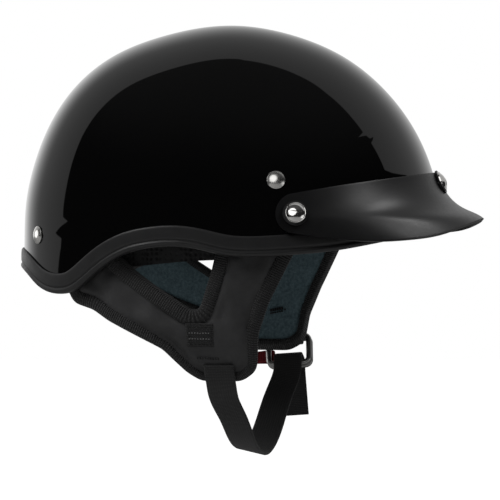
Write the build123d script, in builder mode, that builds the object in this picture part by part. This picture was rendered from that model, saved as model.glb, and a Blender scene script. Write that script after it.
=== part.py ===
from build123d import *
import os
from math import atan2, cos, degrees, hypot, pi, radians, sin, tan

# Half shell helmet: +X forward, +Y to the wearer's left, +Z up, origin in the head opening

# Shell, measured from the axis that runs through its widest points
axis_drop = 26
shell_rear = 143.2
shell_front = 141.5
shell_up = 168
shell_half_width = 114
shell_wall = 3.5
rear_profile_shares = (
    (-1.0, 0), (-0.998, 0.15), (-0.988, 0.30), (-0.948, 0.45),
    (-0.872, 0.61), (-0.742, 0.767), (-0.565, 0.883), (-0.33, 0.960),
)
front_profile_shares = (
    (0, 1.0), (0.28, 0.961), (0.535, 0.868), (0.732, 0.730),
    (0.872, 0.567), (0.950, 0.41), (0.987, 0.27), (0.9985, 0.13), (1.0, 0),
)
lower_profile_shares = (
    (0.987, -0.27), (0.872, -0.567), (0.535, -0.868),
    (0, -1.0), (-0.565, -0.883), (-0.872, -0.61), (-0.988, -0.30),
)
width_power_share = 2.2
station_angles = (-86, -78, -66, -52, -38, -25, -12, 0, 12, 25, 38, 52, 66, 78, 86)

# Clearances and cutting overrun
fit_gap = 0.3
overrun = 60

# Rim line seen from the side: share of the rear or front length, share of the rim depth
rim_depth = 36.4
rim_shares = (
    (-1.05, -0.56), (-1.0, -0.585), (-0.946, -0.62), (-0.894, -0.714), (-0.824, -0.89),
    (-0.764, -0.978), (-0.705, -1.0), (-0.640, -0.956), (-0.547, -0.728), (-0.45, -0.442),
    (-0.353, -0.242), (-0.229, -0.126), (-0.089, -0.104), (0.004, -0.162), (0.119, -0.258),
    (0.232, -0.283), (0.409, -0.247), (0.606, -0.173), (0.808, -0.027), (1.0, 0.096), (1.06, 0.12),
)

# Edge trim, a rubber channel pushed on the rim
trim_height = 13
trim_proud = 1.8
trim_floor = 2.2
trim_lip = 1.2

# Impact liner, thickness at the crown, ends and sides
liner_crown = 28
liner_ends = 30
liner_sides = 24
liner_edge_height = 14.5

# Comfort pads inside the liner
comfort_thickness = 8
crown_pad_radius = 58
brow_pad_low = 22
brow_pad_high = 52
brow_pad_back = 62
skirt_depth = 14
skirt_shares = (
    (-1.05, -0.46), (-0.9, -0.66), (-0.72, -0.86), (-0.55, -0.62), (-0.33, -0.49), (-0.10, -0.40), (0.14, -0.36),
)

# Ear pads: leather outside, fleece inside, knit binding round the edge
harness_depth = 4.2
harness_low = 105
pad_leather = 5.5
pad_fleece = 3.2
binding_width = 7
pad_tuck_height = 12
pad_reach = 132
pad_depth = 93.5
left_lobe_lift = 8.5
pad_notch_share = -0.535
pad_notch_radius = 6
pad_edge_radius = 12
edge_use_share = 0.42
pad_notch_shares = (
    (0.098, 0.128), (0.042, -0.22), (-0.030, -0.535), (-0.36, -0.228), (-0.758, 0.214),
)
pad_rear_shares = (
    (-1.08, 0.053), (-1.02, -0.053), (-0.735, -0.37), (-0.70, -0.46), (-0.583, -0.503), (-0.50, -0.578),
)
pad_lobe_shares = (
    (-0.22, -0.77), (-0.106, -0.936), (-0.038, -1.0), (0.167, -1.0), (0.25, -0.92),
    (0.269, -0.663), (0.327, -0.433), (0.44, -0.111), (0.545, 0.128),
)

# Webbing
web_width = 20
web_thickness = 1.9
strap_depth = 1.9

# Strap rivets and the straps' lower ends: share of the rear or front length, share of the rim depth
rivet_shares = {"front": (0.3364, 1.0604), "rear": (-0.8338, 0.0357)}
strap_end_shares = {"front": (0.2544, -0.1648), "rear": (-0.6425, -0.4396)}
rivet_head_radius = 6
rivet_head_height = 2.6
rivet_shank_radius = 2
rivet_tail = 0.8
burr_radius = 5
burr_thickness = 1.2
burr_seat_gap = 0.5
hole_gap = 0.15

# Visor: share of its top height, share of its reach that it stands off the shell front there
visor_thickness = 2.5
visor_side_reach = 2.6
visor_reach = 44
visor_top_height = 42.5
visor_level_shares = (
    (1.365, 0.068), (1.035, 0.068), (0.894, 0.082), (0.706, 0.134), (0.541, 0.232),
    (0.412, 0.411), (0.322, 0.598), (0.188, 0.75), (0.024, 0.886), (-0.188, 1.0),
)
visor_sag = 2
visor_tab_radius = 12.5
visor_screw_shares = (0.4318, 0.4047)
visor_front_height = 36

# Visor outline in the side view: share of the front length, share of the top height
visor_top_shares = (
    (0.40, 0.70), (0.46, 0.735), (0.57, 0.80), (0.71, 0.875), (0.90, 0.97), (1.0, 1.02), (1.25, 1.12),
)
visor_edge_shares = (
    (1.25, 0.40), (1.19, 0.275), (1.14, 0.19), (1.06, 0.085), (0.95, 0.02), (0.81, -0.012),
    (0.65, 0.012), (0.52, 0.065), (0.43, 0.108),
)

# Visor screws, washers and nuts
screw_cap_radius = 6.85
screw_cap_height = 3.2
screw_slot_width = 1.3
screw_slot_depth = 1.1
screw_shank_radius = 2.5
washer_radius = 8.2
washer_thickness = 1.2
nut_flange_radius = 6.5
nut_flange_thickness = 2.2
nut_barrel_radius = 4.5
nut_barrel_length = 6
washer_seat_gap = 0.5
channel_gap = 1
slot_turns = {"right": -8, "left": 12, "front": 60}

# D-rings and the buckle webbing on the left pad
ring_wire = 4
ring_half_width = 14.5
ring_length = 20
ring_corner = 3.5
ring_tilt = 5
ring_gap = 2.2
ring_place_x = 19
ring_place_z = -73.5
loop_gap = 0.3
loop_merge = 9
loop_eye = 0.2

# Chin strap anchor on the right pad
anchor_x = 8.5
anchor_top = -81
anchor_gap = 0.3
anchor_horn = 4

# Chin strap from the anchor to the buckle: share of the way forward between them, share of the
# helmet's half width, share of the drop to its lowest point
strap_low = 146
strap_path_shares = (
    (0.314, -0.579, 0.805), (0.524, -0.439, 0.904), (0.6, -0.044, 1.0),
    (0.657, 0.421, 0.904), (0.867, 0.675, 0.767),
)
strap_roll = 13
strap_sections = 10
fold_slack = 3.4
fold_side_gap = 2.4
fold_leg = 5
tail_drop = 2
tail_length = 31

# Stitched webbing patch on the pads: share of the pad's reach and depth, then its sizes
patch_shares = (-0.019, -0.658)
patch_width = 18
patch_height = 15
patch_thickness = 1
patch_corner = 1

# Release tab
tab_width = 8.5
tab_web = 1.4
tab_reach = 24

os.makedirs("parts", exist_ok=True)


def former(rear, front, up, low, half_width):
    """Closed rounded body lofted from side profiles that shrink towards the sides."""
    with BuildPart() as body:
        for angle in station_angles:
            side_share = sin(radians(angle))
            scale_share = (1 - abs(side_share) ** width_power_share) ** (1 / width_power_share)
            upper = [
                (x * (rear if x < 0 else front) * scale_share, z * up * scale_share - axis_drop)
                for x, z in rear_profile_shares + front_profile_shares
            ]
            lower = [
                (x * (rear if x < 0 else front) * scale_share, z * low * scale_share - axis_drop)
                for x, z in lower_profile_shares
            ]
            with BuildSketch(Plane.XZ.offset(-half_width * side_share)):
                with BuildLine():
                    Spline(*upper, *lower, periodic=True)
                make_face()
        loft()
    return body.part


def shell_layer(growth):
    """The shell's outer form, grown or shrunk on every side."""
    return former(
        shell_rear + growth, shell_front + growth, shell_up + growth,
        shell_up + growth, shell_half_width + growth,
    )


def harness_layer(depth):
    """The surface that the ear pads and their webbing lie on, below the shell."""
    inset = shell_wall + harness_depth + depth
    return former(
        shell_rear - inset, shell_front - inset, shell_up - inset,
        harness_low - depth, shell_half_width - inset,
    )


def liner_layer(depth):
    """The liner's inside, or a layer further in."""
    inset = shell_wall + fit_gap + depth
    return former(
        shell_rear - inset - liner_ends, shell_front - inset - liner_ends,
        shell_up - inset - liner_crown, shell_up - inset - liner_crown,
        shell_half_width - inset - liner_sides,
    )


def side_points(shares, height):
    """Side-view points from shares of the shell length and of a height."""
    return [(x * (shell_rear if x < 0 else shell_front), z * height) for x, z in shares]


def lifted(points, height):
    """Side-view points moved square to their line."""
    moved = []
    for i, (x, z) in enumerate(points):
        before = points[max(i - 1, 0)]
        after = points[min(i + 1, len(points) - 1)]
        run = after[0] - before[0]
        rise = after[1] - before[1]
        length = hypot(run, rise)
        moved.append((x - height * rise / length, z + height * run / length))
    return moved


rim_line = side_points(rim_shares, rim_depth)
skirt_line = side_points(skirt_shares, rim_depth)
rivet_places = dict(zip(rivet_shares, side_points(rivet_shares.values(), rim_depth)))
strap_ends = dict(zip(strap_end_shares, side_points(strap_end_shares.values(), rim_depth)))
visor_screw_place = side_points([visor_screw_shares], visor_top_height)[0]


def region_above(points):
    """Everything over a side-view line, right through the helmet."""
    top = shell_up + overrun
    with BuildPart() as region:
        with BuildSketch(Plane.XZ):
            with BuildLine():
                Spline(*points)
                Polyline(points[-1], (points[-1][0], top), (points[0][0], top), points[0])
            make_face()
        extrude(amount=shell_half_width + overrun, both=True)
    return region.part


def web_slot(start, end, width, side):
    """A rounded band in the side view, from one point to another, on one side of the helmet."""
    run, rise = end[0] - start[0], end[1] - start[1]
    middle = ((start[0] + end[0]) / 2, (start[1] + end[1]) / 2)
    with BuildPart() as slot:
        with BuildSketch(Plane.XZ):
            with Locations(Location((middle[0], middle[1], 0), (0, 0, degrees(atan2(rise, run))))):
                SlotCenterToCenter(hypot(run, rise), width)
        extrude(amount=-side * (shell_half_width + overrun))
    return slot.part


def seat_on(solid, place, side):
    """Plane on the outside of a solid at a side-view place, its Z axis square to the surface."""
    ray = Axis((place[0], side * (shell_half_width + overrun), place[1]), (0, -side, 0))
    hits = [
        hit for face in solid.faces() for hit in face.find_intersection_points(ray)
    ]
    point, normal = max(hits, key=lambda hit: side * hit[0].Y)
    if normal.Y * side < 0:
        normal = -normal
    return Plane(origin=point, x_dir=Vector(0, 0, 1).cross(normal), z_dir=normal)


def front_seat(solid, height):
    """Plane on the front of a solid at a height on the centre line."""
    ray = Axis((shell_front + overrun, 0, height), (-1, 0, 0))
    hits = [hit for face in solid.faces() for hit in face.find_intersection_points(ray)]
    point, normal = max(hits, key=lambda hit: hit[0].X)
    if normal.X < 0:
        normal = -normal
    return Plane(origin=point, x_dir=(0, 1, 0), z_dir=normal)


def finish(piece, label):
    """Label a finished piece and write it."""
    piece.part.label = label
    export_step(piece.part, f"parts/{label}.step")


# Layers that every piece is cut from
shell_outside = shell_layer(0)
shell_inside = shell_layer(-shell_wall)
channel_outside = shell_layer(fit_gap)
channel_inside = shell_layer(-shell_wall - fit_gap)
above_rim = region_above(rim_line)
above_floor = region_above(lifted(rim_line, trim_floor))
above_channel = region_above(lifted(rim_line, trim_floor + fit_gap))
above_trim = region_above(lifted(rim_line, trim_height))
above_pads = region_above(lifted(rim_line, pad_tuck_height))
above_tuck = region_above(lifted(rim_line, liner_edge_height))

# Seats of the fasteners on the shell
side_names = {"right": -1, "left": 1}
rivet_seats = {
    f"{end}_{name}": seat_on(shell_outside, rivet_places[end], side)
    for end in rivet_places
    for name, side in side_names.items()
}


def visor_plan(height, reach, inset):
    """Plan outline of the visor's outside at one height, inset for its inside."""
    level_share = (height + axis_drop) / shell_up
    half_width = shell_half_width * (1 - level_share ** width_power_share) ** (1 / width_power_share)
    half_width += visor_side_reach - inset
    front = shell_front * visor_front_share(level_share) + reach - inset
    return front, half_width


def visor_front_share(level_share):
    """Share of the shell's front length at a share of its height, read along the front profile."""
    for (x_high, z_high), (x_low, z_low) in zip(front_profile_shares, front_profile_shares[1:]):
        if z_low <= level_share <= z_high:
            along_share = (level_share - z_low) / (z_high - z_low)
            return x_low + (x_high - x_low) * along_share
    return front_profile_shares[-1][0]


def visor_body(inset):
    """Closed body, lofted from plan outlines that reach further forward as they come down."""
    with BuildPart() as body:
        for height_share, reach_share in visor_level_shares:
            height = height_share * visor_top_height
            sag = visor_sag * reach_share * inset / visor_thickness
            front, half_width = visor_plan(height, visor_reach * reach_share, inset)
            quarter = []
            for angle in (0, 15, 30, 45, 60, 75, 90):
                x = front * cos(radians(angle)) ** (2 / width_power_share)
                y = half_width * sin(radians(angle)) ** (2 / width_power_share)
                quarter.append((x, y))
            mirrored = [(x, -y) for x, y in quarter[:0:-1]]
            with BuildSketch(Plane.XY.offset(height - sag)):
                with BuildLine():
                    Spline(*mirrored, *quarter)
                    Line(quarter[-1], mirrored[0])
                make_face()
        loft()
    return body.part


def visor_outline():
    """Side-view region that the visor is trimmed to, tabs and free edge."""
    top_line = side_points(visor_top_shares, visor_top_height)
    edge_line = side_points(visor_edge_shares, visor_top_height)
    tab_end = (visor_screw_place[0] - visor_tab_radius, visor_screw_place[1])
    with BuildPart() as outline:
        with BuildSketch(Plane.XZ):
            with BuildLine():
                Spline(*top_line)
                Line(top_line[-1], edge_line[0])
                Spline(*edge_line)
                ThreePointArc(edge_line[-1], tab_end, top_line[0])
            make_face()
        extrude(amount=shell_half_width + overrun, both=True)
    return outline.part


def along(seat, distance):
    """The seat's plane moved out along its own axis, or in where the distance is negative."""
    return seat.offset(distance)


def pin(seat, radius, start, end):
    """A straight pin on a seat's axis between two distances from the seat."""
    with BuildPart() as cylinder:
        with BuildSketch(along(seat, start)):
            Circle(radius)
        extrude(amount=end - start)
    return cylinder.part


def axial_plane(seat):
    """Plane through a seat's axis: X runs out from the axis and Y along it."""
    return Plane(origin=seat.origin, x_dir=seat.x_dir, z_dir=-seat.y_dir)


def domed_pin(seat, base, head_radius, head_height, shank_radius, shank_end):
    """A round head and its shank, turned about the seat's axis."""
    with BuildPart() as turned:
        with BuildSketch(axial_plane(seat)):
            with BuildLine():
                Line((0, shank_end), (0, base + head_height))
                TangentArc((0, base + head_height), (head_radius, base), tangent=(1, 0))
                Polyline((head_radius, base), (shank_radius, base), (shank_radius, shank_end), (0, shank_end))
            make_face()
        revolve(axis=Axis(seat.origin, seat.z_dir))
    return turned.part


def depth_to(seat, solid):
    """Distance from a seat, straight in, to the skin of a solid."""
    start = seat.origin + seat.z_dir * overrun
    ray = Axis(start, -seat.z_dir)
    hits = [hit[0] for face in solid.faces() for hit in face.find_intersection_points(ray)]
    return min((hit - start).length for hit in hits) - overrun


visor_skin = visor_body(0) - visor_body(visor_thickness)
visor_sheet = visor_skin & visor_outline()
visor_seats = {
    name: seat_on(visor_sheet, visor_screw_place, side) for name, side in side_names.items()
}
visor_seats["front"] = front_seat(visor_sheet, visor_front_height)
visor_depths = {name: depth_to(seat, shell_inside) for name, seat in visor_seats.items()}

with BuildPart() as outer_shell:
    add(shell_outside)
    add(shell_inside, mode=Mode.SUBTRACT)
    add(above_channel, mode=Mode.INTERSECT)
    for seat in rivet_seats.values():
        add(pin(seat, rivet_shank_radius + hole_gap, overrun / 2, -overrun / 2), mode=Mode.SUBTRACT)
    for seat in visor_seats.values():
        add(pin(seat, screw_shank_radius + hole_gap, overrun / 2, -overrun / 2), mode=Mode.SUBTRACT)
finish(outer_shell, "outer_shell")

trim_band = above_rim - above_trim
channel_band = above_floor - region_above(lifted(rim_line, 2 * trim_height))
with BuildPart() as trim_channel:
    add(channel_outside)
    add(channel_inside, mode=Mode.SUBTRACT)
    add(channel_band, mode=Mode.INTERSECT)

with BuildPart() as edge_trim:
    add(shell_layer(fit_gap + trim_proud))
    add(shell_layer(-shell_wall - fit_gap - trim_lip), mode=Mode.SUBTRACT)
    add(trim_band, mode=Mode.INTERSECT)
    add(trim_channel.part, mode=Mode.SUBTRACT)
finish(edge_trim, "edge_trim")

# Impact liner, with channels for the straps and pockets for the nuts
burr_depth = shell_wall + strap_depth + web_thickness + burr_seat_gap
channel_depth = burr_depth + burr_thickness + rivet_tail + fit_gap
strap_channel = channel_inside - shell_layer(-channel_depth)
with BuildPart() as impact_liner:
    add(channel_inside)
    add(liner_layer(0), mode=Mode.SUBTRACT)
    add(above_tuck, mode=Mode.INTERSECT)
    for end in rivet_places:
        for side in side_names.values():
            path = web_slot(rivet_places[end], strap_ends[end], web_width + 2 * channel_gap, side)
            add(strap_channel & path, mode=Mode.SUBTRACT)
    for name, seat in visor_seats.items():
        flange_end = -visor_depths[name] - nut_flange_thickness
        barrel_end = flange_end - nut_barrel_length
        add(pin(seat, nut_flange_radius + channel_gap, 0, flange_end - channel_gap), mode=Mode.SUBTRACT)
        add(pin(seat, nut_barrel_radius + channel_gap, 0, barrel_end - channel_gap), mode=Mode.SUBTRACT)
finish(impact_liner, "impact_liner")

# Comfort pads
comfort_layer = liner_layer(fit_gap) - liner_layer(fit_gap + comfort_thickness)
with BuildPart() as crown_pad:
    add(comfort_layer)
    with BuildSketch(Plane.XY):
        Circle(crown_pad_radius)
    extrude(amount=shell_up + overrun, mode=Mode.INTERSECT)
finish(crown_pad, "crown_pad")

with BuildPart() as brow_pad:
    add(comfort_layer)
    with BuildSketch(Plane.XY.offset(brow_pad_low)):
        with Locations((brow_pad_back + overrun, 0)):
            Rectangle(2 * overrun, 2 * shell_half_width)
    extrude(amount=brow_pad_high - brow_pad_low, mode=Mode.INTERSECT)
finish(brow_pad, "brow_pad")

with BuildPart() as nape_pad:
    add(shell_layer(-shell_wall - skirt_depth))
    add(shell_layer(-shell_wall - skirt_depth - comfort_thickness), mode=Mode.SUBTRACT)
    add(region_above(skirt_line), mode=Mode.INTERSECT)
    add(region_above(lifted(rim_line, liner_edge_height - fit_gap)), mode=Mode.SUBTRACT)
finish(nape_pad, "nape_pad")

# Visor and what holds it
with BuildPart() as visor_peak:
    add(visor_sheet)
    for seat in visor_seats.values():
        add(pin(seat, screw_shank_radius + hole_gap, overrun / 2, -overrun / 2), mode=Mode.SUBTRACT)
finish(visor_peak, "visor_peak")

for name, seat in visor_seats.items():
    washer_top = washer_seat_gap + washer_thickness
    nut_top = -visor_depths[name]
    nut_end = nut_top - nut_flange_thickness - nut_barrel_length
    with BuildPart() as washer:
        add(pin(seat, washer_radius, washer_seat_gap, washer_top))
        add(pin(seat, screw_shank_radius + hole_gap, 0, overrun), mode=Mode.SUBTRACT)
    finish(washer, f"visor_washer_{name}")
    with BuildPart() as screw:
        add(domed_pin(seat, washer_top, screw_cap_radius, screw_cap_height, screw_shank_radius, nut_end))
        with BuildSketch(along(seat, washer_top + screw_cap_height)):
            Rectangle(2 * screw_cap_radius, screw_slot_width, rotation=slot_turns[name])
        extrude(amount=-screw_slot_depth, mode=Mode.SUBTRACT)
    finish(screw, f"visor_screw_{name}")
    with BuildPart() as nut:
        add(pin(seat, nut_flange_radius, nut_top, nut_top - nut_flange_thickness))
        add(pin(seat, nut_barrel_radius, nut_top, nut_end))
        add(channel_inside, mode=Mode.INTERSECT)
        add(pin(seat, screw_shank_radius + hole_gap, overrun, -overrun), mode=Mode.SUBTRACT)
    finish(nut, f"visor_nut_{name}")

# Straps that carry the ear pads, with their rivets and burrs
strap_layer = shell_layer(-shell_wall - strap_depth) - shell_layer(-shell_wall - strap_depth - web_thickness)
for end, place in rivet_places.items():
    for name, side in side_names.items():
        seat = rivet_seats[f"{end}_{name}"]
        with BuildPart() as strap:
            add(strap_layer)
            add(web_slot(place, strap_ends[end], web_width, side), mode=Mode.INTERSECT)
            add(pin(seat, rivet_shank_radius + hole_gap, 0, -overrun), mode=Mode.SUBTRACT)
        finish(strap, f"strap_{end}_{name}")
        tail_end = -burr_depth - burr_thickness - rivet_tail
        with BuildPart() as rivet:
            add(domed_pin(seat, fit_gap, rivet_head_radius, rivet_head_height, rivet_shank_radius, tail_end))
        finish(rivet, f"strap_rivet_{end}_{name}")
        with BuildPart() as burr:
            add(pin(seat, burr_radius, -burr_depth, -burr_depth - burr_thickness))
            add(pin(seat, rivet_shank_radius + hole_gap, 0, -overrun), mode=Mode.SUBTRACT)
        finish(burr, f"rivet_burr_{end}_{name}")


def pad_points(side):
    """Side-view corners of an ear pad; the left lobe is a little shorter."""
    lift = left_lobe_lift if side > 0 else 0
    corners = []
    for x, z in pad_notch_shares + pad_rear_shares + pad_lobe_shares:
        lobe_share = max(0, (pad_notch_share - z) / (pad_notch_share + 1))
        corners.append((x * pad_reach, z * pad_depth + lift * lobe_share))
    return corners


def corner_radii(corners, wanted):
    """Fillet radii for a closed outline, each limited by the shorter of its two edges."""
    radii = []
    for i, (corner, radius) in enumerate(zip(corners, wanted)):
        before = Vector(*corners[i - 1]) - Vector(*corner)
        after = Vector(*corners[(i + 1) % len(corners)]) - Vector(*corner)
        half_turn = radians(180 - before.get_angle(after)) / 2
        room = edge_use_share * min(before.length, after.length)
        radii.append(min(radius, room / tan(half_turn)))
    return radii


def pad_column(side, inset):
    """The pad's outline, drawn in by an inset, pushed out through one side of the helmet."""
    corners = pad_points(side)
    notch = pad_notch_shares.index(min(pad_notch_shares, key=lambda share: share[1]))
    wanted = [pad_notch_radius if i == notch else pad_edge_radius for i in range(len(corners))]
    radii = corner_radii(corners, wanted)
    with BuildPart() as column:
        with BuildSketch(Plane.XZ):
            with BuildLine():
                FilletPolyline(*corners, radius=radii, close=True)
            make_face()
            if inset:
                offset(amount=-inset)
        extrude(amount=-side * (shell_half_width + overrun))
        add(above_pads, mode=Mode.SUBTRACT)
    return column.part


pad_skin = harness_layer(0)
pad_back = harness_layer(pad_leather + fit_gap + pad_fleece)
leather_layer = pad_skin - harness_layer(pad_leather)
fleece_layer = harness_layer(pad_leather + fit_gap) - pad_back
patch_layer = harness_layer(-fit_gap - patch_thickness) - harness_layer(-fit_gap)
for name, side in side_names.items():
    panel = pad_column(side, binding_width + fit_gap)
    with BuildPart() as ear_pad:
        add(leather_layer)
        add(panel, mode=Mode.INTERSECT)
    finish(ear_pad, f"ear_pad_{name}")
    with BuildPart() as ear_lining:
        add(fleece_layer)
        add(panel, mode=Mode.INTERSECT)
    finish(ear_lining, f"ear_lining_{name}")
    with BuildPart() as ear_binding:
        add(pad_skin)
        add(pad_back, mode=Mode.SUBTRACT)
        add(pad_column(side, 0), mode=Mode.INTERSECT)
        add(pad_column(side, binding_width), mode=Mode.SUBTRACT)
    finish(ear_binding, f"ear_binding_{name}")
    patch_x = patch_shares[0] * pad_reach
    patch_z = patch_shares[1] * pad_depth + (left_lobe_lift if side > 0 else 0)
    with BuildPart() as patch:
        add(patch_layer)
        with BuildSketch(Plane.XZ):
            with Locations((patch_x, patch_z)):
                RectangleRounded(patch_width, patch_height, patch_corner)
        extrude(amount=-side * (shell_half_width + overrun), mode=Mode.INTERSECT)
    finish(patch, f"strap_patch_{name}")


def harness_frame(x, z, side, out):
    """Plane on the pads' outer surface: X forward, Y down along the surface, Z to the left."""
    half_width = shell_half_width - shell_wall - harness_depth
    level_share = (-z - axis_drop) / harness_low
    y_share = (1 - level_share ** width_power_share) ** (1 / width_power_share)
    fall = half_width / harness_low * (level_share / y_share) ** (width_power_share - 1)
    outward = Vector(0, side, -fall).normalized()
    origin = Vector(x, side * half_width * y_share, z) + outward * out
    return Plane(origin=origin, x_dir=(1, 0, 0), z_dir=outward * side)


# Webbing anchor on the right pad, cut round where the chin strap begins
strap_radius = web_width / 2
pivot_drop = strap_radius + anchor_gap
web_middle = fit_gap + web_thickness / 2
lobe_edge = harness_frame(anchor_x, -pad_depth, -1, web_middle)
pivot_z = -pad_depth - (pivot_drop + anchor_gap) * abs(lobe_edge.y_dir.Z)
pivot_frame = harness_frame(anchor_x, pivot_z, -1, web_middle)
anchor_layer = harness_layer(-fit_gap - web_thickness) - harness_layer(-fit_gap)
with BuildPart() as strap_anchor:
    add(anchor_layer)
    with BuildSketch(Plane.XZ):
        with Locations((anchor_x, (anchor_top + pivot_z + anchor_horn) / 2)):
            Rectangle(web_width, anchor_top - pivot_z - anchor_horn)
    extrude(amount=shell_half_width + overrun, mode=Mode.INTERSECT)
    add(pin(pivot_frame, pivot_drop, overrun / 4, -overrun / 4), mode=Mode.SUBTRACT)
finish(strap_anchor, "strap_anchor")

# Buckle frame on the left pad: X forward, Y down, Z outward, tilted a little up at the front
buckle_flat = harness_frame(ring_place_x, ring_place_z, 1, 0)
buckle_across = buckle_flat.x_dir.rotate(Axis((0, 0, 0), buckle_flat.z_dir), -ring_tilt)
buckle = Plane(origin=buckle_flat.origin, x_dir=buckle_across, z_dir=buckle_flat.z_dir)
side_cut = Plane(origin=buckle.origin, x_dir=buckle.y_dir, z_dir=buckle.x_dir)
inner_out = fit_gap + web_thickness + loop_gap + ring_wire / 2
outer_out = inner_out + ring_wire + ring_gap
middle_out = (inner_out + outer_out) / 2

with BuildPart() as buckle_strap:
    with BuildSketch(side_cut):
        with BuildSketch(mode=Mode.PRIVATE) as outside:
            with Locations((0, inner_out), (0, outer_out)):
                Circle(ring_wire / 2 + loop_gap + web_thickness)
            with Locations((-loop_merge, fit_gap + web_thickness)):
                Circle(web_thickness)
        make_hull(outside.sketch.edges())
        with BuildSketch(mode=Mode.PRIVATE) as inside:
            with Locations((0, inner_out), (0, outer_out)):
                Circle(ring_wire / 2 + loop_gap)
            with Locations((-loop_merge / 2, fit_gap + web_thickness + loop_eye)):
                Circle(loop_eye)
        make_hull(inside.sketch.edges(), mode=Mode.SUBTRACT)
    extrude(amount=web_width / 2, both=True)
finish(buckle_strap, "buckle_strap")

for name, out in {"inner": inner_out, "outer": outer_out}.items():
    with BuildPart() as ring:
        with BuildLine(buckle.offset(out)) as bar:
            FilletPolyline(
                (ring_half_width, 0), (ring_half_width, ring_length),
                (-ring_half_width, ring_length), (-ring_half_width, 0), radius=ring_corner, close=True,
            )
        with BuildSketch(Plane(origin=bar.line @ 0, z_dir=bar.line % 0)):
            Circle(ring_wire / 2)
        sweep()
    finish(ring, f"d_ring_{name}")


# Chin strap: a round end on the right pad, a smooth loop, and a fold over both rings
def buckle_point(down, out):
    """Point in the middle of the webbing at a place in the buckle frame."""
    return buckle.origin + buckle.y_dir * down + buckle.z_dir * out


fold_radius = ring_wire / 2 + fold_side_gap
fold_down = ring_length - fold_slack + fold_side_gap
fold_in = inner_out - fold_radius - web_thickness / 2
fold_out = outer_out + fold_radius + web_thickness / 2
leg_end = fold_down + fold_leg
strap_start = pivot_frame.origin
strap_end = buckle_point(leg_end, fold_in)
strap_path = [
    (anchor_x + (ring_place_x - anchor_x) * x, shell_half_width * y, -strap_low * z)
    for x, y, z in strap_path_shares
]
with BuildLine() as strap_line:
    Spline(
        strap_start, *strap_path, strap_end,
        tangents=(pivot_frame.y_dir, -buckle.y_dir),
    )
strap_edge = strap_line.line.edges()[0]
with BuildPart() as chin_strap:
    for step in range(strap_sections + 1):
        step_share = step / strap_sections
        heading = strap_edge % step_share
        level_roll = strap_roll * sin(pi * step_share)
        across = (Vector(1, 0, 0) - heading * heading.X).normalized()
        across = across.rotate(Axis((0, 0, 0), heading), level_roll)
        with BuildSketch(Plane(origin=strap_edge @ step_share, x_dir=across, z_dir=heading)):
            Rectangle(web_width, web_thickness)
    loft()
    with BuildSketch(pivot_frame.offset(-web_thickness / 2)):
        Circle(strap_radius)
        Rectangle(web_width, web_width, align=(Align.CENTER, Align.MIN), mode=Mode.SUBTRACT)
    extrude(amount=web_thickness)
    with BuildSketch(side_cut):
        with BuildSketch(mode=Mode.PRIVATE) as outside:
            with Locations((fold_down, inner_out), (fold_down, outer_out)):
                Circle(fold_radius + web_thickness)
        make_hull(outside.sketch.edges())
        with BuildSketch(mode=Mode.PRIVATE) as inside:
            with Locations((fold_down, inner_out), (fold_down, outer_out)):
                Circle(fold_radius)
        make_hull(inside.sketch.edges(), mode=Mode.SUBTRACT)
        with Locations((fold_down, middle_out)):
            Rectangle(web_width, 2 * fold_out, align=(Align.MIN, Align.CENTER), mode=Mode.SUBTRACT)
        with Locations((fold_down, fold_in)):
            Rectangle(fold_leg, web_thickness, align=(Align.MIN, Align.CENTER))
        with Locations((fold_down, fold_out)):
            Rectangle(tail_drop, web_thickness, align=(Align.MIN, Align.CENTER))
    extrude(amount=web_width / 2, both=True)
finish(chin_strap, "chin_strap")

# Tail of the chin strap, hanging from a hinge line on the outside of the fold
tail_hinge = buckle_point(fold_down + tail_drop + web_thickness, fold_out)
tail_across = buckle.x_dir
hang = Vector(0, 0, -1)
hang = (hang - tail_across * hang.dot(tail_across)).normalized()
tail_cut = Plane(origin=tail_hinge, x_dir=hang, z_dir=tail_across)
with BuildPart() as strap_tail:
    with BuildSketch(tail_cut):
        with Locations((tail_length / 2, 0)):
            Rectangle(tail_length, web_thickness)
        Circle(web_thickness / 2)
    extrude(amount=web_width / 2, both=True)
finish(strap_tail, "strap_tail")

# Release tab, a folded band round the outer ring's rear side
tab_down = ring_length - ring_corner - tab_width / 2
leg_point = buckle_point(tab_down, outer_out) - buckle.x_dir * ring_half_width
tab_plane = Plane(origin=leg_point, x_dir=buckle.x_dir, z_dir=buckle.y_dir)
with BuildPart() as release_tab:
    with BuildSketch(tab_plane):
        with BuildSketch(mode=Mode.PRIVATE) as outside:
            Circle(ring_wire / 2 + loop_gap + tab_web)
            with Locations((-tab_reach, 0)):
                Circle(tab_web)
        make_hull(outside.sketch.edges())
        with BuildSketch(mode=Mode.PRIVATE) as inside:
            Circle(ring_wire / 2 + loop_gap)
            with Locations((-tab_reach / 3, 0)):
                Circle(loop_eye)
        make_hull(inside.sketch.edges(), mode=Mode.SUBTRACT)
    extrude(amount=tab_width / 2, both=True)
finish(release_tab, "release_tab")

fold_middle = buckle_point(ring_length, middle_out)
bar_middle = buckle_point(0, middle_out)
print("chin strap swing", strap_start, (fold_middle - strap_start).normalized())
print("buckle swing", bar_middle, buckle.x_dir)
print("tail lift", tail_hinge, tail_across)
print("tab swing", leg_point, buckle.y_dir)
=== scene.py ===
from contextlib import contextmanager
from math import cos, pi, radians, sin, tan

import bmesh
import bpy
import numpy as np
from mathutils import Matrix, Vector


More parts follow.
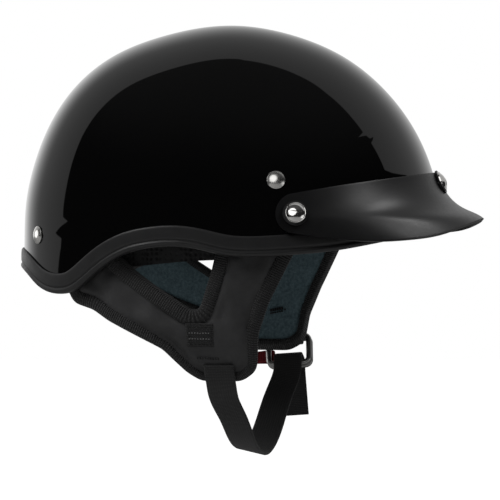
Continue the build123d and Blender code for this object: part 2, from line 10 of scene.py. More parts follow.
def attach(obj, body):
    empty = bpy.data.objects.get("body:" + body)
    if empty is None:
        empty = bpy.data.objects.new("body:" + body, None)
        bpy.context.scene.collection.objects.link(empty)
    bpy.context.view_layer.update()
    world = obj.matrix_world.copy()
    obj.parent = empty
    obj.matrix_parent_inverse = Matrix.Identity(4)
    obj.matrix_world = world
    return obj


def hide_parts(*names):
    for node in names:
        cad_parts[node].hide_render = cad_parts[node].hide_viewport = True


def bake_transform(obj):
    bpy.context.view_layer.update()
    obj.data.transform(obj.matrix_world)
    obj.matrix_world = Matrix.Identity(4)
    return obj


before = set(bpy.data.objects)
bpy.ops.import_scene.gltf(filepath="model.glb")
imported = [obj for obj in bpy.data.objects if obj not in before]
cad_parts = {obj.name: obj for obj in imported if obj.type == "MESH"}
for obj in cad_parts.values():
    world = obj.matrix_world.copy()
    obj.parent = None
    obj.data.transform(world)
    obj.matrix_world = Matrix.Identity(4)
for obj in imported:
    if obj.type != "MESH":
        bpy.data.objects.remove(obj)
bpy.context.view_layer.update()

# Lengths below are in millimetres, and meshes are written in metres
MM = 0.001

# Shell: driving sizes
axis_drop = 26
shell_rear, shell_front, shell_up, shell_half_width = 143.2, 141.5, 168, 114
shell_wall, shell_edge_height = 3.5, 2.6
width_power = 2.2
rear_profile = (
    (-1.0, 0), (-0.998, 0.15), (-0.988, 0.30), (-0.948, 0.45),
    (-0.872, 0.61), (-0.742, 0.767), (-0.565, 0.883), (-0.33, 0.960),
)
front_profile = (
    (0, 1.0), (0.28, 0.961), (0.535, 0.868), (0.732, 0.730),
    (0.872, 0.567), (0.950, 0.41), (0.987, 0.27), (0.9985, 0.13), (1.0, 0),
)
lower_profile = (
    (0.987, -0.27), (0.872, -0.567), (0.535, -0.868),
    (0, -1.0), (-0.565, -0.883), (-0.872, -0.61), (-0.988, -0.30),
)
rim_depth = 36.4
rim_shares = (
    (-1.05, -0.56), (-1.0, -0.585), (-0.946, -0.62), (-0.894, -0.714), (-0.824, -0.89),
    (-0.764, -0.978), (-0.705, -1.0), (-0.640, -0.956), (-0.547, -0.728), (-0.45, -0.442),
    (-0.353, -0.242), (-0.229, -0.126), (-0.089, -0.104), (0.004, -0.162), (0.119, -0.258),
    (0.232, -0.283), (0.409, -0.247), (0.606, -0.173), (0.808, -0.027), (1.0, 0.096), (1.06, 0.12),
)
fit_gap = 0.3

# Directions of the shell's mesh from its axis, in degrees: first, last and number, up and sideways
shell_rises, shell_turns = (-24, 204, 250), (-86, 86, 170)

# Section of the trim: (up from the rim, out of the shell's skin)
trim_section = (
    (12.6, 0.1), (13.0, 0.7), (12.8, 1.3), (12.2, 1.75), (11.0, 1.95), (8.0, 2.05), (5.4, 2.0), (4.5, 1.85),
    (4.0, 1.35), (3.75, 0.95), (3.4, 1.15), (3.0, 1.7), (2.2, 2.15), (1.2, 2.15), (0.3, 1.6), (-0.3, 0.5),
    (-0.5, -1.2), (-0.4, -3.2), (0.2, -4.6), (1.4, -5.2), (3.5, -5.3), (9.0, -5.2), (12.2, -5.1),
    (12.6, -4.7),
)

# Liner and comfort pads, with how far their cloth swells and how deep their seams are
liner_crown, liner_ends, liner_sides, liner_edge_height = 28, 30, 24, 14.5
comfort_thickness = 8
crown_pad_radius, crown_swell, crown_seam = 58, 1.0, 0.9
brow_pad_low, brow_pad_high, brow_half_width, brow_swell, brow_seam = 22, 52, 72, 0.8, 0.8
brow_edge_gap, brow_least = 0.4, 3
skirt_depth, skirt_start_turn, skirt_face_drop, skirt_back_drop = 14, 81, 0.6, 2.6
skirt_shares = (
    (-1.05, -0.46), (-0.9, -0.66), (-0.72, -0.86), (-0.55, -0.62), (-0.33, -0.49), (-0.10, -0.40),
    (0.14, -0.36),
)

# Ear pads
harness_depth, harness_low = 4.2, 105
pad_leather, pad_fleece = 5.5, 3.2
pad_tuck_height, pad_tuck_share = 12, 0.965
pad_reach, pad_depth = 132, 93.5
left_lobe_lift = 8.5
pad_notch_share = -0.535
pad_notch_radius, pad_edge_radius, edge_use = 6, 12, 0.42
pad_notch_shares = (
    (0.098, 0.128), (0.042, -0.22), (-0.030, -0.535), (-0.36, -0.228), (-0.758, 0.214),
)
pad_rear_shares = (
    (-1.08, 0.053), (-1.02, -0.053), (-0.735, -0.37), (-0.70, -0.46), (-0.583, -0.503), (-0.50, -0.578),
)
pad_lobe_shares = (
    (-0.22, -0.77), (-0.106, -0.936), (-0.038, -1.0), (0.167, -1.0), (0.25, -0.92),
    (0.269, -0.663), (0.327, -0.433), (0.44, -0.111), (0.545, 0.128),
)
pad_cell, pad_panel_inset = 1.6, 4.0
pad_edge_start, pad_edge_run, pad_sink = 6, 9, 0.6
pad_swell, pad_crease, pad_crease_inset, pad_crease_width = 1.7, 0.8, 9.2, 1.2
lining_swell = 1.2

# Binding: widths, and one face's section as (share of the width, out of the pad)
binding_wide, binding_loss, binding_inner_share, binding_inner_least = 9.2, 3.8, 0.62, 4.8
binding_face = (
    (1.0, -0.9), (0.97, 0.25), (0.90, 0.75), (0.70, 1.0), (0.40, 0.95), (0.15, 0.45), (0.03, -0.7),
    (0.0, -2.4),
)

# Webbing, rivets and screws
web_width, web_thickness, strap_depth = 20, 1.9, 1.9
rivet_places = {"front": (47.6, 38.6), "rear": (-119.4, 1.3)}
strap_ends = {"front": (36, -6), "rear": (-92, -16)}
strap_overlap, strap_shortfall = 9, 2
rivet_head = {
    "radius": 6, "height": 2.6, "dome_inset": 0.4, "dome_loss": 0.7, "dome_lift": 0.9, "steps": 14,
    "rim": ((0.1, 0.75), (0, 0.5), (0, 0.3)), "shank": 2, "end": -9.8,
}
screw_head = {
    "radius": 6.85, "height": 3.2, "dome_inset": 0.75, "dome_loss": 1.0, "dome_lift": 1.0, "steps": 16,
    "rim": ((0.6, 0.95), (0.3, 1.1), (0.05, 0.95), (0, 0.6), (0, 0)), "shank": 2.5, "end": -12,
}
slot_width, slot_depth, slot_inset, slot_clearance = 1.3, 1.1, 0.9, 3
slot_turns = {"right": -8, "left": 12, "front": 60}
washer_top = 1.7

# Visor
visor_thickness, visor_side_reach, visor_edge_round = 2.5, 2.6, 0.7
visor_levels = {58: 3.0, 44: 3.0, 38: 3.6, 30: 5.9, 23: 10.2, 17.5: 18.1, 13.7: 26.3, 8: 33, 1: 39, -8: 44}
visor_tab_radius = 12.5
visor_screw_place = (61.1, 17.2)
visor_front_height, visor_top_height = 36, 42.5
visor_top_shares = (
    (0.40, 0.70), (0.46, 0.735), (0.57, 0.80), (0.71, 0.875), (0.90, 0.97), (1.0, 1.02), (1.25, 1.12),
)
visor_edge_shares = (
    (1.25, 0.40), (1.19, 0.275), (1.14, 0.19), (1.06, 0.085), (0.95, 0.02), (0.81, -0.012),
    (0.65, 0.012), (0.52, 0.065), (0.43, 0.108),
)

# Buckle and chin strap
ring_wire, ring_half_width, ring_length, ring_corner, ring_tilt, ring_gap = 4, 14.5, 20, 3.5, 5, 2.2
ring_place = (19, -73.5)
loop_gap, loop_root, loop_end, loop_end_rise = 0.3, (11, 6), (7, 12), 1.2
anchor_x, anchor_top, anchor_gap, pivot_leg, root_blend = 8.5, -81, 0.3, 4, 12
strap_path = (
    (11.8, -66, -117.5), (14.0, -50, -132.0), (14.8, -5, -146.0), (15.4, 48, -132.0), (17.6, 77, -112.0),
)
strap_roll = 13
fold_slack, fold_side_gap, fold_leg, fold_end = 3.4, 2.4, 5, 1
roll_end, roll_run = 14, 30
tail_drop, tail_start, tail_length = 2, 1.5, 31
tab_width, tab_web, tab_reach, tab_end = 8.5, 1.4, 24, 4
pressed_share = 0.92

# Patches and threads: each stitch is (length, gap, radius)
patch_place = (-2.5, -61.5)
patch_width, patch_height, patch_web, patch_out, patch_inset = 18, 15, 1.2, 1.0, 1.6
patch_rows = (-2.2, 1.6)
thread_rise, patch_thread_out, root_thread_out, lining_thread_out = 0.42, 1.55, 0.75, 1.2
frame_stitch, row_stitch = (1.7, 0.9, 0.36), (1.1, 0.7, 0.3)
root_stitch, lining_stitch = (1.2, 0.5, 0.34), (1.6, 0.1, 0.62)
root_tack, root_tack_rows = ((-6, -77.0), (10, -77.6)), (0, 0.9)
lining_tack, lining_tack_rows = ((7.5, -61.4), (19.0, -59.0)), (0, 1.8, 2.8)

# Folds pressed in the leather: side-view ends, half width, height
pad_folds = (
    ((-2, -8), (24, -14), 2.2, 0.9), ((0, -14), (20, -22), 3.0, -0.8), ((-14, -52), (-36, -40), 3.5, -1.2),
    ((-16, -60), (-42, -50), 4.0, 1.0), ((10, -54), (16, -74), 3.0, 1.1), ((-10, -72), (8, -74), 3.6, -1.6),
    ((-14, -76), (-34, -66), 3.4, -0.9), ((14, -40), (10, -56), 3.0, -0.7), ((18, -66), (22, -82), 2.6, -0.8),
    ((-20, -80), (2, -88), 3.0, 0.8),
)
fold_scale, lining_fold_share = 2.0, 0.5
# Slack of the leather: height, a wave's lengths forward and up, its phase, and a crossing wave's lengths
pad_waves = ((0.8, 6.1, 9.3, 0.8, -11.9, 7.7), (0.35, 3.3, -4.9, 0, 8.1, 13.1))
# Places where the leather lies flat: the patch, the root of the strap, and above the rings
calm_places = (patch_place, (anchor_x, anchor_top - 7), (13, -58 - left_lobe_lift))
calm_radius = 13

# Camera: the photograph's view from the helmet's right side, a little from the rear and above
view_turn, view_rise = radians(11.0), radians(2.0)
view_distance, pixel_size = 2000, 0.68
view_centre = (234.5, 235.0)
frame_middle = 250
sensor_width = 36

# Floor, in metres, and levels of light: the floor's own, the mirrored backdrop's and the one on matt surfaces
floor_radius, floor_height, floor_tone = 3.0, -0.30, 0.7
floor_glow, backdrop_level, matt_level = 0.93, 0.44, 0.13

# Edge of the bright backdrop as the shell mirrors it: (how far up a direction points, how far ahead
# the backdrop starts there), to the left and to the right of the camera
left_edge = (
    (-1.0, 0.45), (-0.07, 0.40), (-0.035, 0.17), (-0.015, 0.10), (0.012, 0.09), (0.018, 0.21),
    (0.105, -0.03), (0.112, 0.06), (0.30, 0.09), (0.50, 0.11), (0.90, 0.11), (1.0, 0.10),
)
right_edge = (
    (-1.0, 0.45), (0.26, 0.45), (0.32, 0.31), (0.385, 0.03), (0.42, -0.08), (0.598, -0.08),
    (0.606, 0.05), (0.618, -0.06), (0.645, -0.08), (0.655, -0.22), (0.664, -0.09), (0.75, -0.07),
    (0.87, -0.03), (0.96, 0.04), (1.0, 0.09),
)

# Lamps: what each lights alone, its direction (right, up, ahead), distance and size in metres, radiance
LAMPS = {
    "key": (None, (-0.8, 1.0, -0.75), 2.1, 0.8, 8.5),
    "fill": (None, (1.0, 0.3, -0.8), 2.0, 1.0, 1.2),
    "metal_key": ("metal", (-0.35, 0.6, -1.0), 1.4, 1.5, 1.2),
    "metal_fill": ("metal", (1.0, -0.3, -0.5), 1.4, 1.0, 0.7),
    "metal_rear": ("metal", (-1.0, 0.1, 0.1), 1.4, 0.9, 1.6),
    "visor_strip_0": ("visor", (0.64, 0.76, -0.14), 1.5, 0.40, 12.0),
    "visor_strip_1": ("visor", (0.67, 0.58, -0.45), 1.5, 0.40, 7.5),
    "visor_edge": ("visor", (-0.3, 1.0, -0.05), 1.5, 0.3, 5.0),
    "soft_key": ("soft", (-0.9, 1.0, -0.35), 1.6, 0.5, 9.0),
}

SIDES = {"right": -1, "left": 1}


# Curves and surfaces

def lengths(path):
    """Distance along a line at each of its points."""
    return np.concatenate([[0], np.cumsum(np.linalg.norm(np.diff(path, axis=0), axis=1))])


def evenly(points, count):
    """The same line with its points evenly spaced."""
    points = np.array(points, float)
    along = lengths(points)
    wanted = np.linspace(0, along[-1], count)
    return np.stack([np.interp(wanted, along, points[:, k]) for k in range(points.shape[1])], 1)


def spline_points(points, count, closed=False):
    """Evenly spaced points on a smooth curve through the given points."""
    p = np.array(points, float)
    if closed:
        p = np.vstack([p, p[:1]])
    h = np.linalg.norm(np.diff(p, axis=0), axis=1)
    n = len(p)
    a = np.zeros((n, n))
    b = np.zeros_like(p)
    slope = np.diff(p, axis=0) / h[:, None]
    for i in range(1, n - 1):
        a[i, i - 1:i + 2] = h[i], 2 * (h[i - 1] + h[i]), h[i - 1]
        b[i] = 3 * (h[i] * slope[i - 1] + h[i - 1] * slope[i])
    if closed:
        a[0, 0], a[0, 1], a[0, n - 2] = 2 * (h[-1] + h[0]), h[-1], h[0]
        b[0] = 3 * (h[0] * slope[-1] + h[-1] * slope[0])
        a[-1, 0], a[-1, -1] = 1, -1
    else:
        a[0, :2] = 2, 1
        b[0] = 3 * slope[0]
        a[-1, -2:] = 1, 2
        b[-1] = 3 * slope[-1]
    m = np.linalg.solve(a, b)
    knots = np.concatenate([[0], np.cumsum(h)])
    t = np.linspace(0, knots[-1], 40 * n)
    i = np.clip(np.searchsorted(knots, t, side="right") - 1, 0, n - 2)
    u = ((t - knots[i]) / h[i])[:, None]
    hi = h[i][:, None]
    dense = (
        (1 + 2 * u) * (1 - u) ** 2 * p[i] + u * (1 - u) ** 2 * hi * m[i]
        + u ** 2 * (3 - 2 * u) * p[i + 1] + u ** 2 * (u - 1) * hi * m[i + 1]
    )
    return evenly(dense, count)


def unit(vectors):
    return vectors / np.linalg.norm(vectors, axis=-1, keepdims=True)


def side_points(shares, height):
    return [(x * (shell_rear if x < 0 else shell_front), z * height) for x, z in shares]


class Form:
    """Rounded body whose side profiles shrink towards the sides."""

    step = 0.4

    def __init__(self, rear, front, up, low, half_width):
        upper = [(x * (rear if x < 0 else front), z * up) for x, z in rear_profile + front_profile]
        lower = [(x * (rear if x < 0 else front), z * low) for x, z in lower_profile]
        curve = spline_points(upper + lower, 7200, closed=True)[:-1]
        angle = np.arctan2(curve[:, 1], curve[:, 0])
        order = np.argsort(angle)
        angles, radii = angle[order], np.hypot(curve[:, 0], curve[:, 1])[order]
        self.angles = np.concatenate([angles - 2 * pi, angles, angles + 2 * pi])
        self.radii = np.tile(radii, 3)
        self.half_width = half_width

    def radius(self, angle):
        return np.interp(angle, self.angles, self.radii)

    def share(self, x, z):
        """How far a side-view point lies towards the profile, 1 on it."""
        z = z + axis_drop
        return np.hypot(x, z) / self.radius(np.arctan2(z, x))

    def reach(self, p):
        """How far points lie towards the surface, 1 on it."""
        inner = self.share(p[..., 0], p[..., 2]) ** width_power
        return (inner + np.abs(p[..., 1] / self.half_width) ** width_power) ** (1 / width_power)

    def normal(self, p):
        steps = self.step * np.eye(3)
        return unit(np.stack([self.reach(p + steps[k]) - self.reach(p - steps[k]) for k in range(3)], -1))

    def at(self, x, z, side, out=0.0):
        """Points over side-view places, moved out square to the surface."""
        x, z = np.asarray(x, float), np.asarray(z, float)
        inner = np.clip(self.share(x, z), 0, 0.9995)
        y = side * self.half_width * (1 - inner ** width_power) ** (1 / width_power)
        return self.moved(np.stack([x, y, z], -1), out)

    def moved(self, p, out):
        """Points moved out square to the surface."""
        return p + self.normal(p) * np.asarray(out, float)[..., None]

    def snap(self, p):
        """Points moved along their normals until they lie on the surface."""
        for _ in range(4):
            n = self.normal(p)
            growth = (self.reach(p + self.step * n) - self.reach(p - self.step * n)) / (2 * self.step)
            p = p + n * (0 - (self.reach(p) - 1) / growth)[..., None]
        return p


def bisect(further, shape, low=20.0, high=170.0):
    """Values at which a test turns from true to false, for a whole array at once."""
    low, high = np.full(shape, low), np.full(shape, high)
    for _ in range(36):
        middle = (low + high) / 2
        more = further(middle)
        low, high = np.where(more, middle, low), np.where(more, high, middle)
    return (low + high) / 2


def layer(depth, ends=0, crown=0, sides=0, low=None):
    """Form at a depth under the shell's skin, thicker by given amounts at its ends, crown and sides."""
    up = shell_up - depth - crown
    return Form(
        shell_rear - depth - ends, shell_front - depth - ends, up,
        up if low is None else low, shell_half_width - depth - sides,
    )


shell = layer(0)
harness = layer(shell_wall + harness_depth, low=harness_low)
liner = layer(shell_wall + fit_gap, liner_ends, liner_crown, liner_sides)
skirt = layer(shell_wall + skirt_depth)
rim_curve = spline_points(side_points(rim_shares, rim_depth), 600)


def rim_height(x):
    return np.interp(x, rim_curve[:, 0], rim_curve[:, 1])


def above_rim(x, z):
    """Distance over the rim line in the side view, square to it near the line."""
    slope = (rim_height(x + 1) - rim_height(x - 1)) / 2
    return (z - rim_height(x)) / np.sqrt(1 + slope ** 2)


def lobe_lift(side):
    """How much higher the lower lobe of a pad hangs."""
    return left_lobe_lift if side > 0 else 0


# Meshes

@contextmanager
def editing(mesh):
    """Mesh opened for edits, then written back."""
    bm = bmesh.new()
    bm.from_mesh(mesh)
    yield bm
    bm.to_mesh(mesh)
    bm.free()


def in_scene(name, data):
    obj = bpy.data.objects.new(name, data)
    bpy.context.scene.collection.objects.link(obj)
    return obj


def new_object(name, verts, faces, sharp=40):
    """Object from points in millimetres."""
    mesh = bpy.data.meshes.new(name)
    mesh.from_pydata([tuple(v) for v in np.asarray(verts, float) * MM], [], faces)
    mesh.update()
    with editing(mesh) as bm:
        bmesh.ops.recalc_face_normals(bm, faces=bm.faces)
    mesh.shade_smooth()
    if sharp:
        mesh.set_sharp_from_angle(angle=radians(sharp))
    return in_scene(name, mesh)


def remove(obj):
    mesh = obj.data
    bpy.data.objects.remove(obj)
    bpy.data.meshes.remove(mesh)


def modify(obj, kind, **settings):
    """One modifier applied to the object's mesh."""
    modifier = obj.modifiers.new("change", kind)
    for key, value in settings.items():
        setattr(modifier, key, value)
    graph = bpy.context.evaluated_depsgraph_get()
    mesh = bpy.data.meshes.new_from_object(obj.evaluated_get(graph))
    obj.modifiers.clear()
    old, obj.data = obj.data, mesh
    bpy.data.meshes.remove(old)


def thicken(obj, wall):
    modify(obj, "SOLIDIFY", thickness=wall * MM, offset=-1.0, use_even_offset=True)


def joined(name, objects):
    """One object from several."""
    bm = bmesh.new()
    for obj in objects:
        bm.from_mesh(obj.data)
    mesh = bpy.data.meshes.new(name)
    bm.to_mesh(mesh)
    bm.free()
    for obj in objects:
        remove(obj)
    return in_scene(name, mesh)


def grid_faces(rows, cols, wrap_rows=False, wrap_cols=False):
    faces = []
    for i in range(rows if wrap_rows else rows - 1):
        for j in range(cols if wrap_cols else cols - 1):
            k, m = (i + 1) % rows, (j + 1) % cols
            faces.append((i * cols + j, k * cols + j, k * cols + m, i * cols + m))
    return faces


def skin_faces(count, size, closed=False):
    """Faces over closed sections, with caps where the row of sections is open."""
    faces = grid_faces(count, size, closed, True)
    if not closed:
        faces += [tuple(range(size - 1, -1, -1)), tuple(range((count - 1) * size, count * size))]
    return faces


def sweep(name, rows, closed=False, sharp=40, across=None, along=None):
    """Skin over closed sections, with a weave map in millimetres."""
    rows = np.asarray(rows, float)
    count, size = rows.shape[:2]
    obj = new_object(name, rows.reshape(-1, 3), skin_faces(count, size, closed), sharp)
    if across is not None:
        weave = np.stack([np.tile(across, count), np.repeat(along, size)], 1) * MM
        attribute = obj.data.attributes.new("weave", "FLOAT_VECTOR", "POINT")
        attribute.data.foreach_set("vector", np.c_[weave, np.zeros(len(weave))].astype(np.float32).ravel())
    return obj


def web_section(width, thickness, cells=10):
    """Flat section with round edges: (across, out) points round it."""
    half, radius = width / 2 - thickness / 2, thickness / 2
    points = []
    for turn in (1, -1):
        points += [(turn * (-half + 2 * half * i / cells), turn * radius) for i in range(cells + 1)]
        for a in (pi / 4, pi / 2, 3 * pi / 4):
            points.append((turn * (half + radius * sin(a)), turn * radius * cos(a)))
    return np.array(points)


def tube_rows(centres, across, out, radius, sides):
    """Round sections along a line, between two directions square to it."""
    turns = np.linspace(0, 2 * pi, sides, endpoint=False)[:, None]
    radius = np.broadcast_to(radius, len(centres))[:, None, None]
    return centres[:, None] + (across[:, None] * np.cos(turns) + out[:, None] * np.sin(turns)) * radius


def surface_band(name, form, side, path, section, sharp=40):
    """A section carried along a side-view line on a form: across is in the side view, out is off the form."""
    run = unit(np.gradient(path, axis=0))
    normals = np.stack([-run[:, 1], run[:, 0]], 1)
    section = np.broadcast_to(section, (len(path), *section.shape[-2:]))
    places = path[:, None, :] + normals[:, None, :] * section[:, :, :1]
    rows = form.at(places[..., 0], places[..., 1], side, section[..., 1])
    return sweep(name, rows, sharp=sharp, across=section[0, :, 0], along=lengths(path))


def path_sweep(name, centres, across, section, along_start=0.0):
    """A section carried along a line in space."""
    heading = unit(np.gradient(centres, axis=0))
    across = unit(across - heading * np.sum(across * heading, 1, keepdims=True))
    out = np.cross(heading, across)
    rows = centres[:, None] + across[:, None] * section[None, :, :1] + out[:, None] * section[None, :, 1:]
    return sweep(name, rows, across=section[:, 0], along=lengths(centres) + along_start)


def clipped_grid(xs, zs, inside):
    """Cells cut where inside() is negative: points and faces."""
    grid = np.stack(np.meshgrid(xs, zs, indexing="ij"), -1)
    value = inside(grid[..., 0], grid[..., 1])
    points, faces, known = [], [], {}

    def number(a, b):
        """Number of a corner, given twice, or of the cut between two corners."""
        key = (min(a, b), max(a, b))
        if key not in known:
            a, b = key
            share = value[a] / (value[a] - value[b]) if a != b else 0.0
            known[key] = len(points)
            points.append(grid[a] + (grid[b] - grid[a]) * share)
        return known[key]

    for i in range(len(xs) - 1):
        for j in range(len(zs) - 1):
            ring = [(i, j), (i + 1, j), (i + 1, j + 1), (i, j + 1)]
            face = []
            for a, b in zip(ring, ring[1:] + ring[:1]):
                if value[a] > 0:
                    face.append(number(a, a))
                if (value[a] > 0) != (value[b] > 0):
                    face.append(number(a, b))
            if len(face) > 2:
                faces.append(tuple(face))
    return np.array(points), faces


def slab(name, points, faces, top, bottom, sharp=50):
    """Closed piece between two skins over the same side-view faces."""
    count = len(points)
    edges = dict.fromkeys((a, b) for face in faces for a, b in zip(face, face[1:] + face[:1]))
    walls = [(b, a, a + count, b + count) for a, b in edges if (b, a) not in edges]
    lower = [tuple(v + count for v in reversed(face)) for face in faces]
    return new_object(name, np.vstack([top, bottom]), faces + lower + walls, sharp)


def distance_inside(path):
    """Function giving the distance inside a closed side-view line, negative outside."""
    runs = np.roll(path, -1, 0) - path

    def inside(x, z):
        p = np.stack([np.ravel(x), np.ravel(z)], 1)
        best = np.full(len(p), np.inf)
        crossings = np.zeros(len(p), int)
        for a, run, b in zip(path, runs, np.roll(path, -1, 0)):
            rel = p - a
            t = np.clip((rel @ run) / (run @ run), 0, 1)
            best = np.minimum(best, np.hypot(*(rel - t[:, None] * run).T))
            spans = (a[1] > p[:, 1]) != (b[1] > p[:, 1])
            if spans.any():
                cut = a[0] + (p[:, 1] - a[1]) / (b[1] - a[1] + 1e-12) * run[0]
                crossings += spans & (p[:, 0] < cut)
        return np.where(crossings % 2 == 1, best, -best).reshape(np.shape(x))
    return inside


# Materials

class Nodes:
    """Short calls that add nodes to a material or a world."""

    def __init__(self, owner):
        owner.use_nodes = True
        self.owner, self.tree = owner, owner.node_tree

    def link(self, value, socket):
        """Socket fed by another one, or set to a value."""
        if isinstance(value, bpy.types.NodeSocket):
            self.tree.links.new(value, socket)
        else:
            socket.default_value = value

    def add(self, kind, settings=None, **inputs):
        """Node with its settings, and its inputs by name, or by number as i0 and so on."""
        node = self.tree.nodes.new("ShaderNode" + kind)
        for key, value in (settings or {}).items():
            setattr(node, key, value)
        for key, value in inputs.items():
            self.link(value, node.inputs[int(key[1:]) if key[1:].isdigit() else key.replace("_", " ")])
        return node

    def math(self, operation, a, b=0.0, c=0.0):
        return self.add("Math", {"operation": operation}, i0=a, i1=b, i2=c).outputs[0]

    def ranged(self, value, low, high, out_low=0.0, out_high=1.0, shape="LINEAR"):
        """Value carried from one range to another, and kept within it."""
        inputs = {"From_Min": low, "From_Max": high, "To_Min": out_low, "To_Max": out_high}
        return self.add("MapRange", {"interpolation_type": shape}, Value=value, **inputs).outputs["Result"]


class Finish(Nodes):
    """Material of one shader, with textures over the object's own coordinates in metres."""

    def __init__(self, name, base, roughness, **numbers):
        super().__init__(bpy.data.materials.new(name))
        self.shader = self.tree.nodes["Principled BSDF"]
        for key, value in {"Base_Color": (*base, 1), "Roughness": roughness, **numbers}.items():
            self.shader.inputs[key.replace("_", " ")].default_value = value
        self.spot = self.add("TexCoord").outputs["Object"]

    def noise(self, scale, detail=3.0, rough=0.5):
        node = self.add("TexNoise", Vector=self.spot, Scale=scale, Detail=detail, Roughness=rough)
        return node.outputs["Fac"]

    def spread(self, value, out_low=0.0, out_high=1.0):
        """A noise's usual range carried to another one."""
        return self.ranged(value, 0.3, 0.7, out_low, out_high)

    def cells(self, scale, randomness=1.0):
        node = self.add("TexVoronoi", Vector=self.spot, Scale=scale, Randomness=randomness)
        return node.outputs["Distance"]

    def tone(self, factor, dark, light):
        """Base colour between two, by a factor."""
        mix = self.add("Mix", {"data_type": "RGBA"}, Factor=factor, i6=(*dark, 1), i7=(*light, 1))
        self.link(mix.outputs[2], self.shader.inputs["Base Color"])

    def rough(self, scale, detail, low, high):
        """Roughness that wanders between two values."""
        self.link(self.spread(self.noise(scale, detail), low, high), self.shader.inputs["Roughness"])

    def bumps(self, *layers):
        """Stacked bumps: (height, depth in millimetres) each. Returns the finished material."""
        normal = None
        for height, depth in layers:
            node = self.add("Bump", Height=height, Strength=1.0, Distance=depth * MM)
            if normal is not None:
                self.link(normal, node.inputs["Normal"])
            normal = node.outputs["Normal"]
        self.link(normal, self.shader.inputs["Normal"])
        return self.owner


def gloss_paint():
    paint = Finish("gloss_paint", (0.0016, 0.0016, 0.0017), 0.03)
    paint.rough(60, 2, 0.02, 0.035)
    return paint.bumps((paint.noise(220, 2), 0.0015))


def satin_rubber():
    rubber = Finish("satin_rubber", (0.010, 0.010, 0.0105), 0.46)
    rubber.tone(rubber.noise(90, 4), (0.012, 0.012, 0.0123), (0.018, 0.018, 0.0185))
    rubber.rough(240, 3, 0.40, 0.50)
    return rubber.bumps((rubber.noise(900), 0.02))


def satin_plastic():
    plastic = Finish("satin_plastic", (0.010, 0.010, 0.0105), 0.36, Specular_IOR_Level=0.25)
    plastic.tone(plastic.noise(70, 4), (0.0055, 0.0055, 0.0058), (0.0085, 0.0085, 0.0088))
    plastic.rough(500, 2, 0.33, 0.39)
    return plastic.bumps((plastic.noise(1400, 2), 0.012), (plastic.noise(40, 2), 0.03))


def metal(name, base, low, high, grain):
    plate = Finish(name, base, (low + high) / 2, Metallic=1.0)
    plate.rough(grain, 4, low, high)
    plate.tone(plate.noise(grain / 3), tuple(0.86 * v for v in base), base)
    return plate.bumps((plate.noise(grain * 2, 2), 0.004))


def leather():
    hide = Finish("grained_leather", (0.030, 0.030, 0.031), 0.55, Specular_IOR_Level=0.42)
    hide.tone(hide.spread(hide.noise(45, 5, 0.6)), (0.027, 0.027, 0.0275), (0.041, 0.041, 0.042))
    hide.rough(300, 3, 0.48, 0.62)
    return hide.bumps(
        (hide.cells(1500), 0.06), (hide.noise(420, 4), 0.16), (hide.noise(150, 1), 0.35),
        (hide.noise(60, 1), 2.6), (hide.noise(24, 1), 8.0),
    )


def fleece():
    pile = Finish("teal_fleece", (0.03, 0.052, 0.058), 0.95, Sheen_Weight=0.25)
    tone = pile.ranged(pile.noise(520, 5, 0.7), 0.32, 0.68)
    pile.tone(tone, (0.050, 0.085, 0.098), (0.135, 0.208, 0.238))
    return pile.bumps((pile.noise(1100, 4, 0.7), 0.35), (pile.noise(80), 0.7))


def weave(name, dark, light, rib=1.25, row=1.6, depth=0.16, sheen=0.1):
    """Webbing: ribs across the width, broken by the yarns along it."""
    web = Finish(name, light, 0.72, Sheen_Weight=sheen)
    place = web.add("Attribute", {"attribute_name": "weave"}).outputs["Vector"]
    across, along = web.add("SeparateXYZ", Vector=place).outputs[:2]
    ribs = web.math("SINE", web.math("MULTIPLY", along, 2 * pi / (rib * MM)))
    yarns = web.math("SINE", web.math("MULTIPLY", across, 2 * pi / (row * MM)))
    height = web.math("ADD", ribs, web.math("MULTIPLY", web.math("MULTIPLY", ribs, yarns), 0.45))
    height = web.math("ADD", height, web.math("MULTIPLY", yarns, 0.25))
    fibre = web.noise(1800)
    # Base colour darker down in the grooves between the ribs, painted shade, and toned at random by the fibre
    web.tone(web.math("MULTIPLY", web.ranged(height, -1.4, 1.2), web.spread(fibre, 0.65)), dark, light)
    return web.bumps((height, depth / 2), (fibre, 0.08))


def spacer_mesh():
    mesh = Finish("spacer_mesh", (0.012, 0.012, 0.0125), 0.8, Sheen_Weight=0.1)
    holes = mesh.cells(300, randomness=0.25)
    # Base colour darkest in the holes: painted shade in them
    mesh.tone(mesh.ranged(holes, 0.18, 0.42), (0.0008, 0.0008, 0.0008), (0.016, 0.016, 0.0165))
    return mesh.bumps((mesh.ranged(holes, 0.15, 0.5), 1.0), (mesh.noise(1500), 0.1))


def brushed_cloth():
    cloth = Finish("brushed_cloth", (0.014, 0.0145, 0.0155), 0.9, Sheen_Weight=0.25)
    cloth.tone(cloth.noise(600, 4, 0.7), (0.008, 0.0085, 0.009), (0.020, 0.0205, 0.022))
    return cloth.bumps((cloth.noise(1200, 4, 0.7), 0.3), (cloth.noise(60), 0.6))


def bead_foam():
    foam = Finish("bead_foam", (0.014, 0.014, 0.0145), 0.7)
    beads = foam.cells(330)
    # Base colour lighter on the bead tops and darker between the beads: painted shade in the crevices
    foam.tone(foam.ranged(beads, 0.2, 0.7), (0.018, 0.018, 0.0185), (0.007, 0.007, 0.0075))
    return foam.bumps((foam.math("MULTIPLY", beads, -1.0), 0.5))


def thread(name, tone):
    yarn = Finish(name, (tone, tone, tone), 0.6, Sheen_Weight=0.1)
    yarn.tone(yarn.noise(2400), (0.6 * tone,) * 3, (1.3 * tone,) * 3)
    return yarn.bumps((yarn.noise(3000, 2), 0.05))


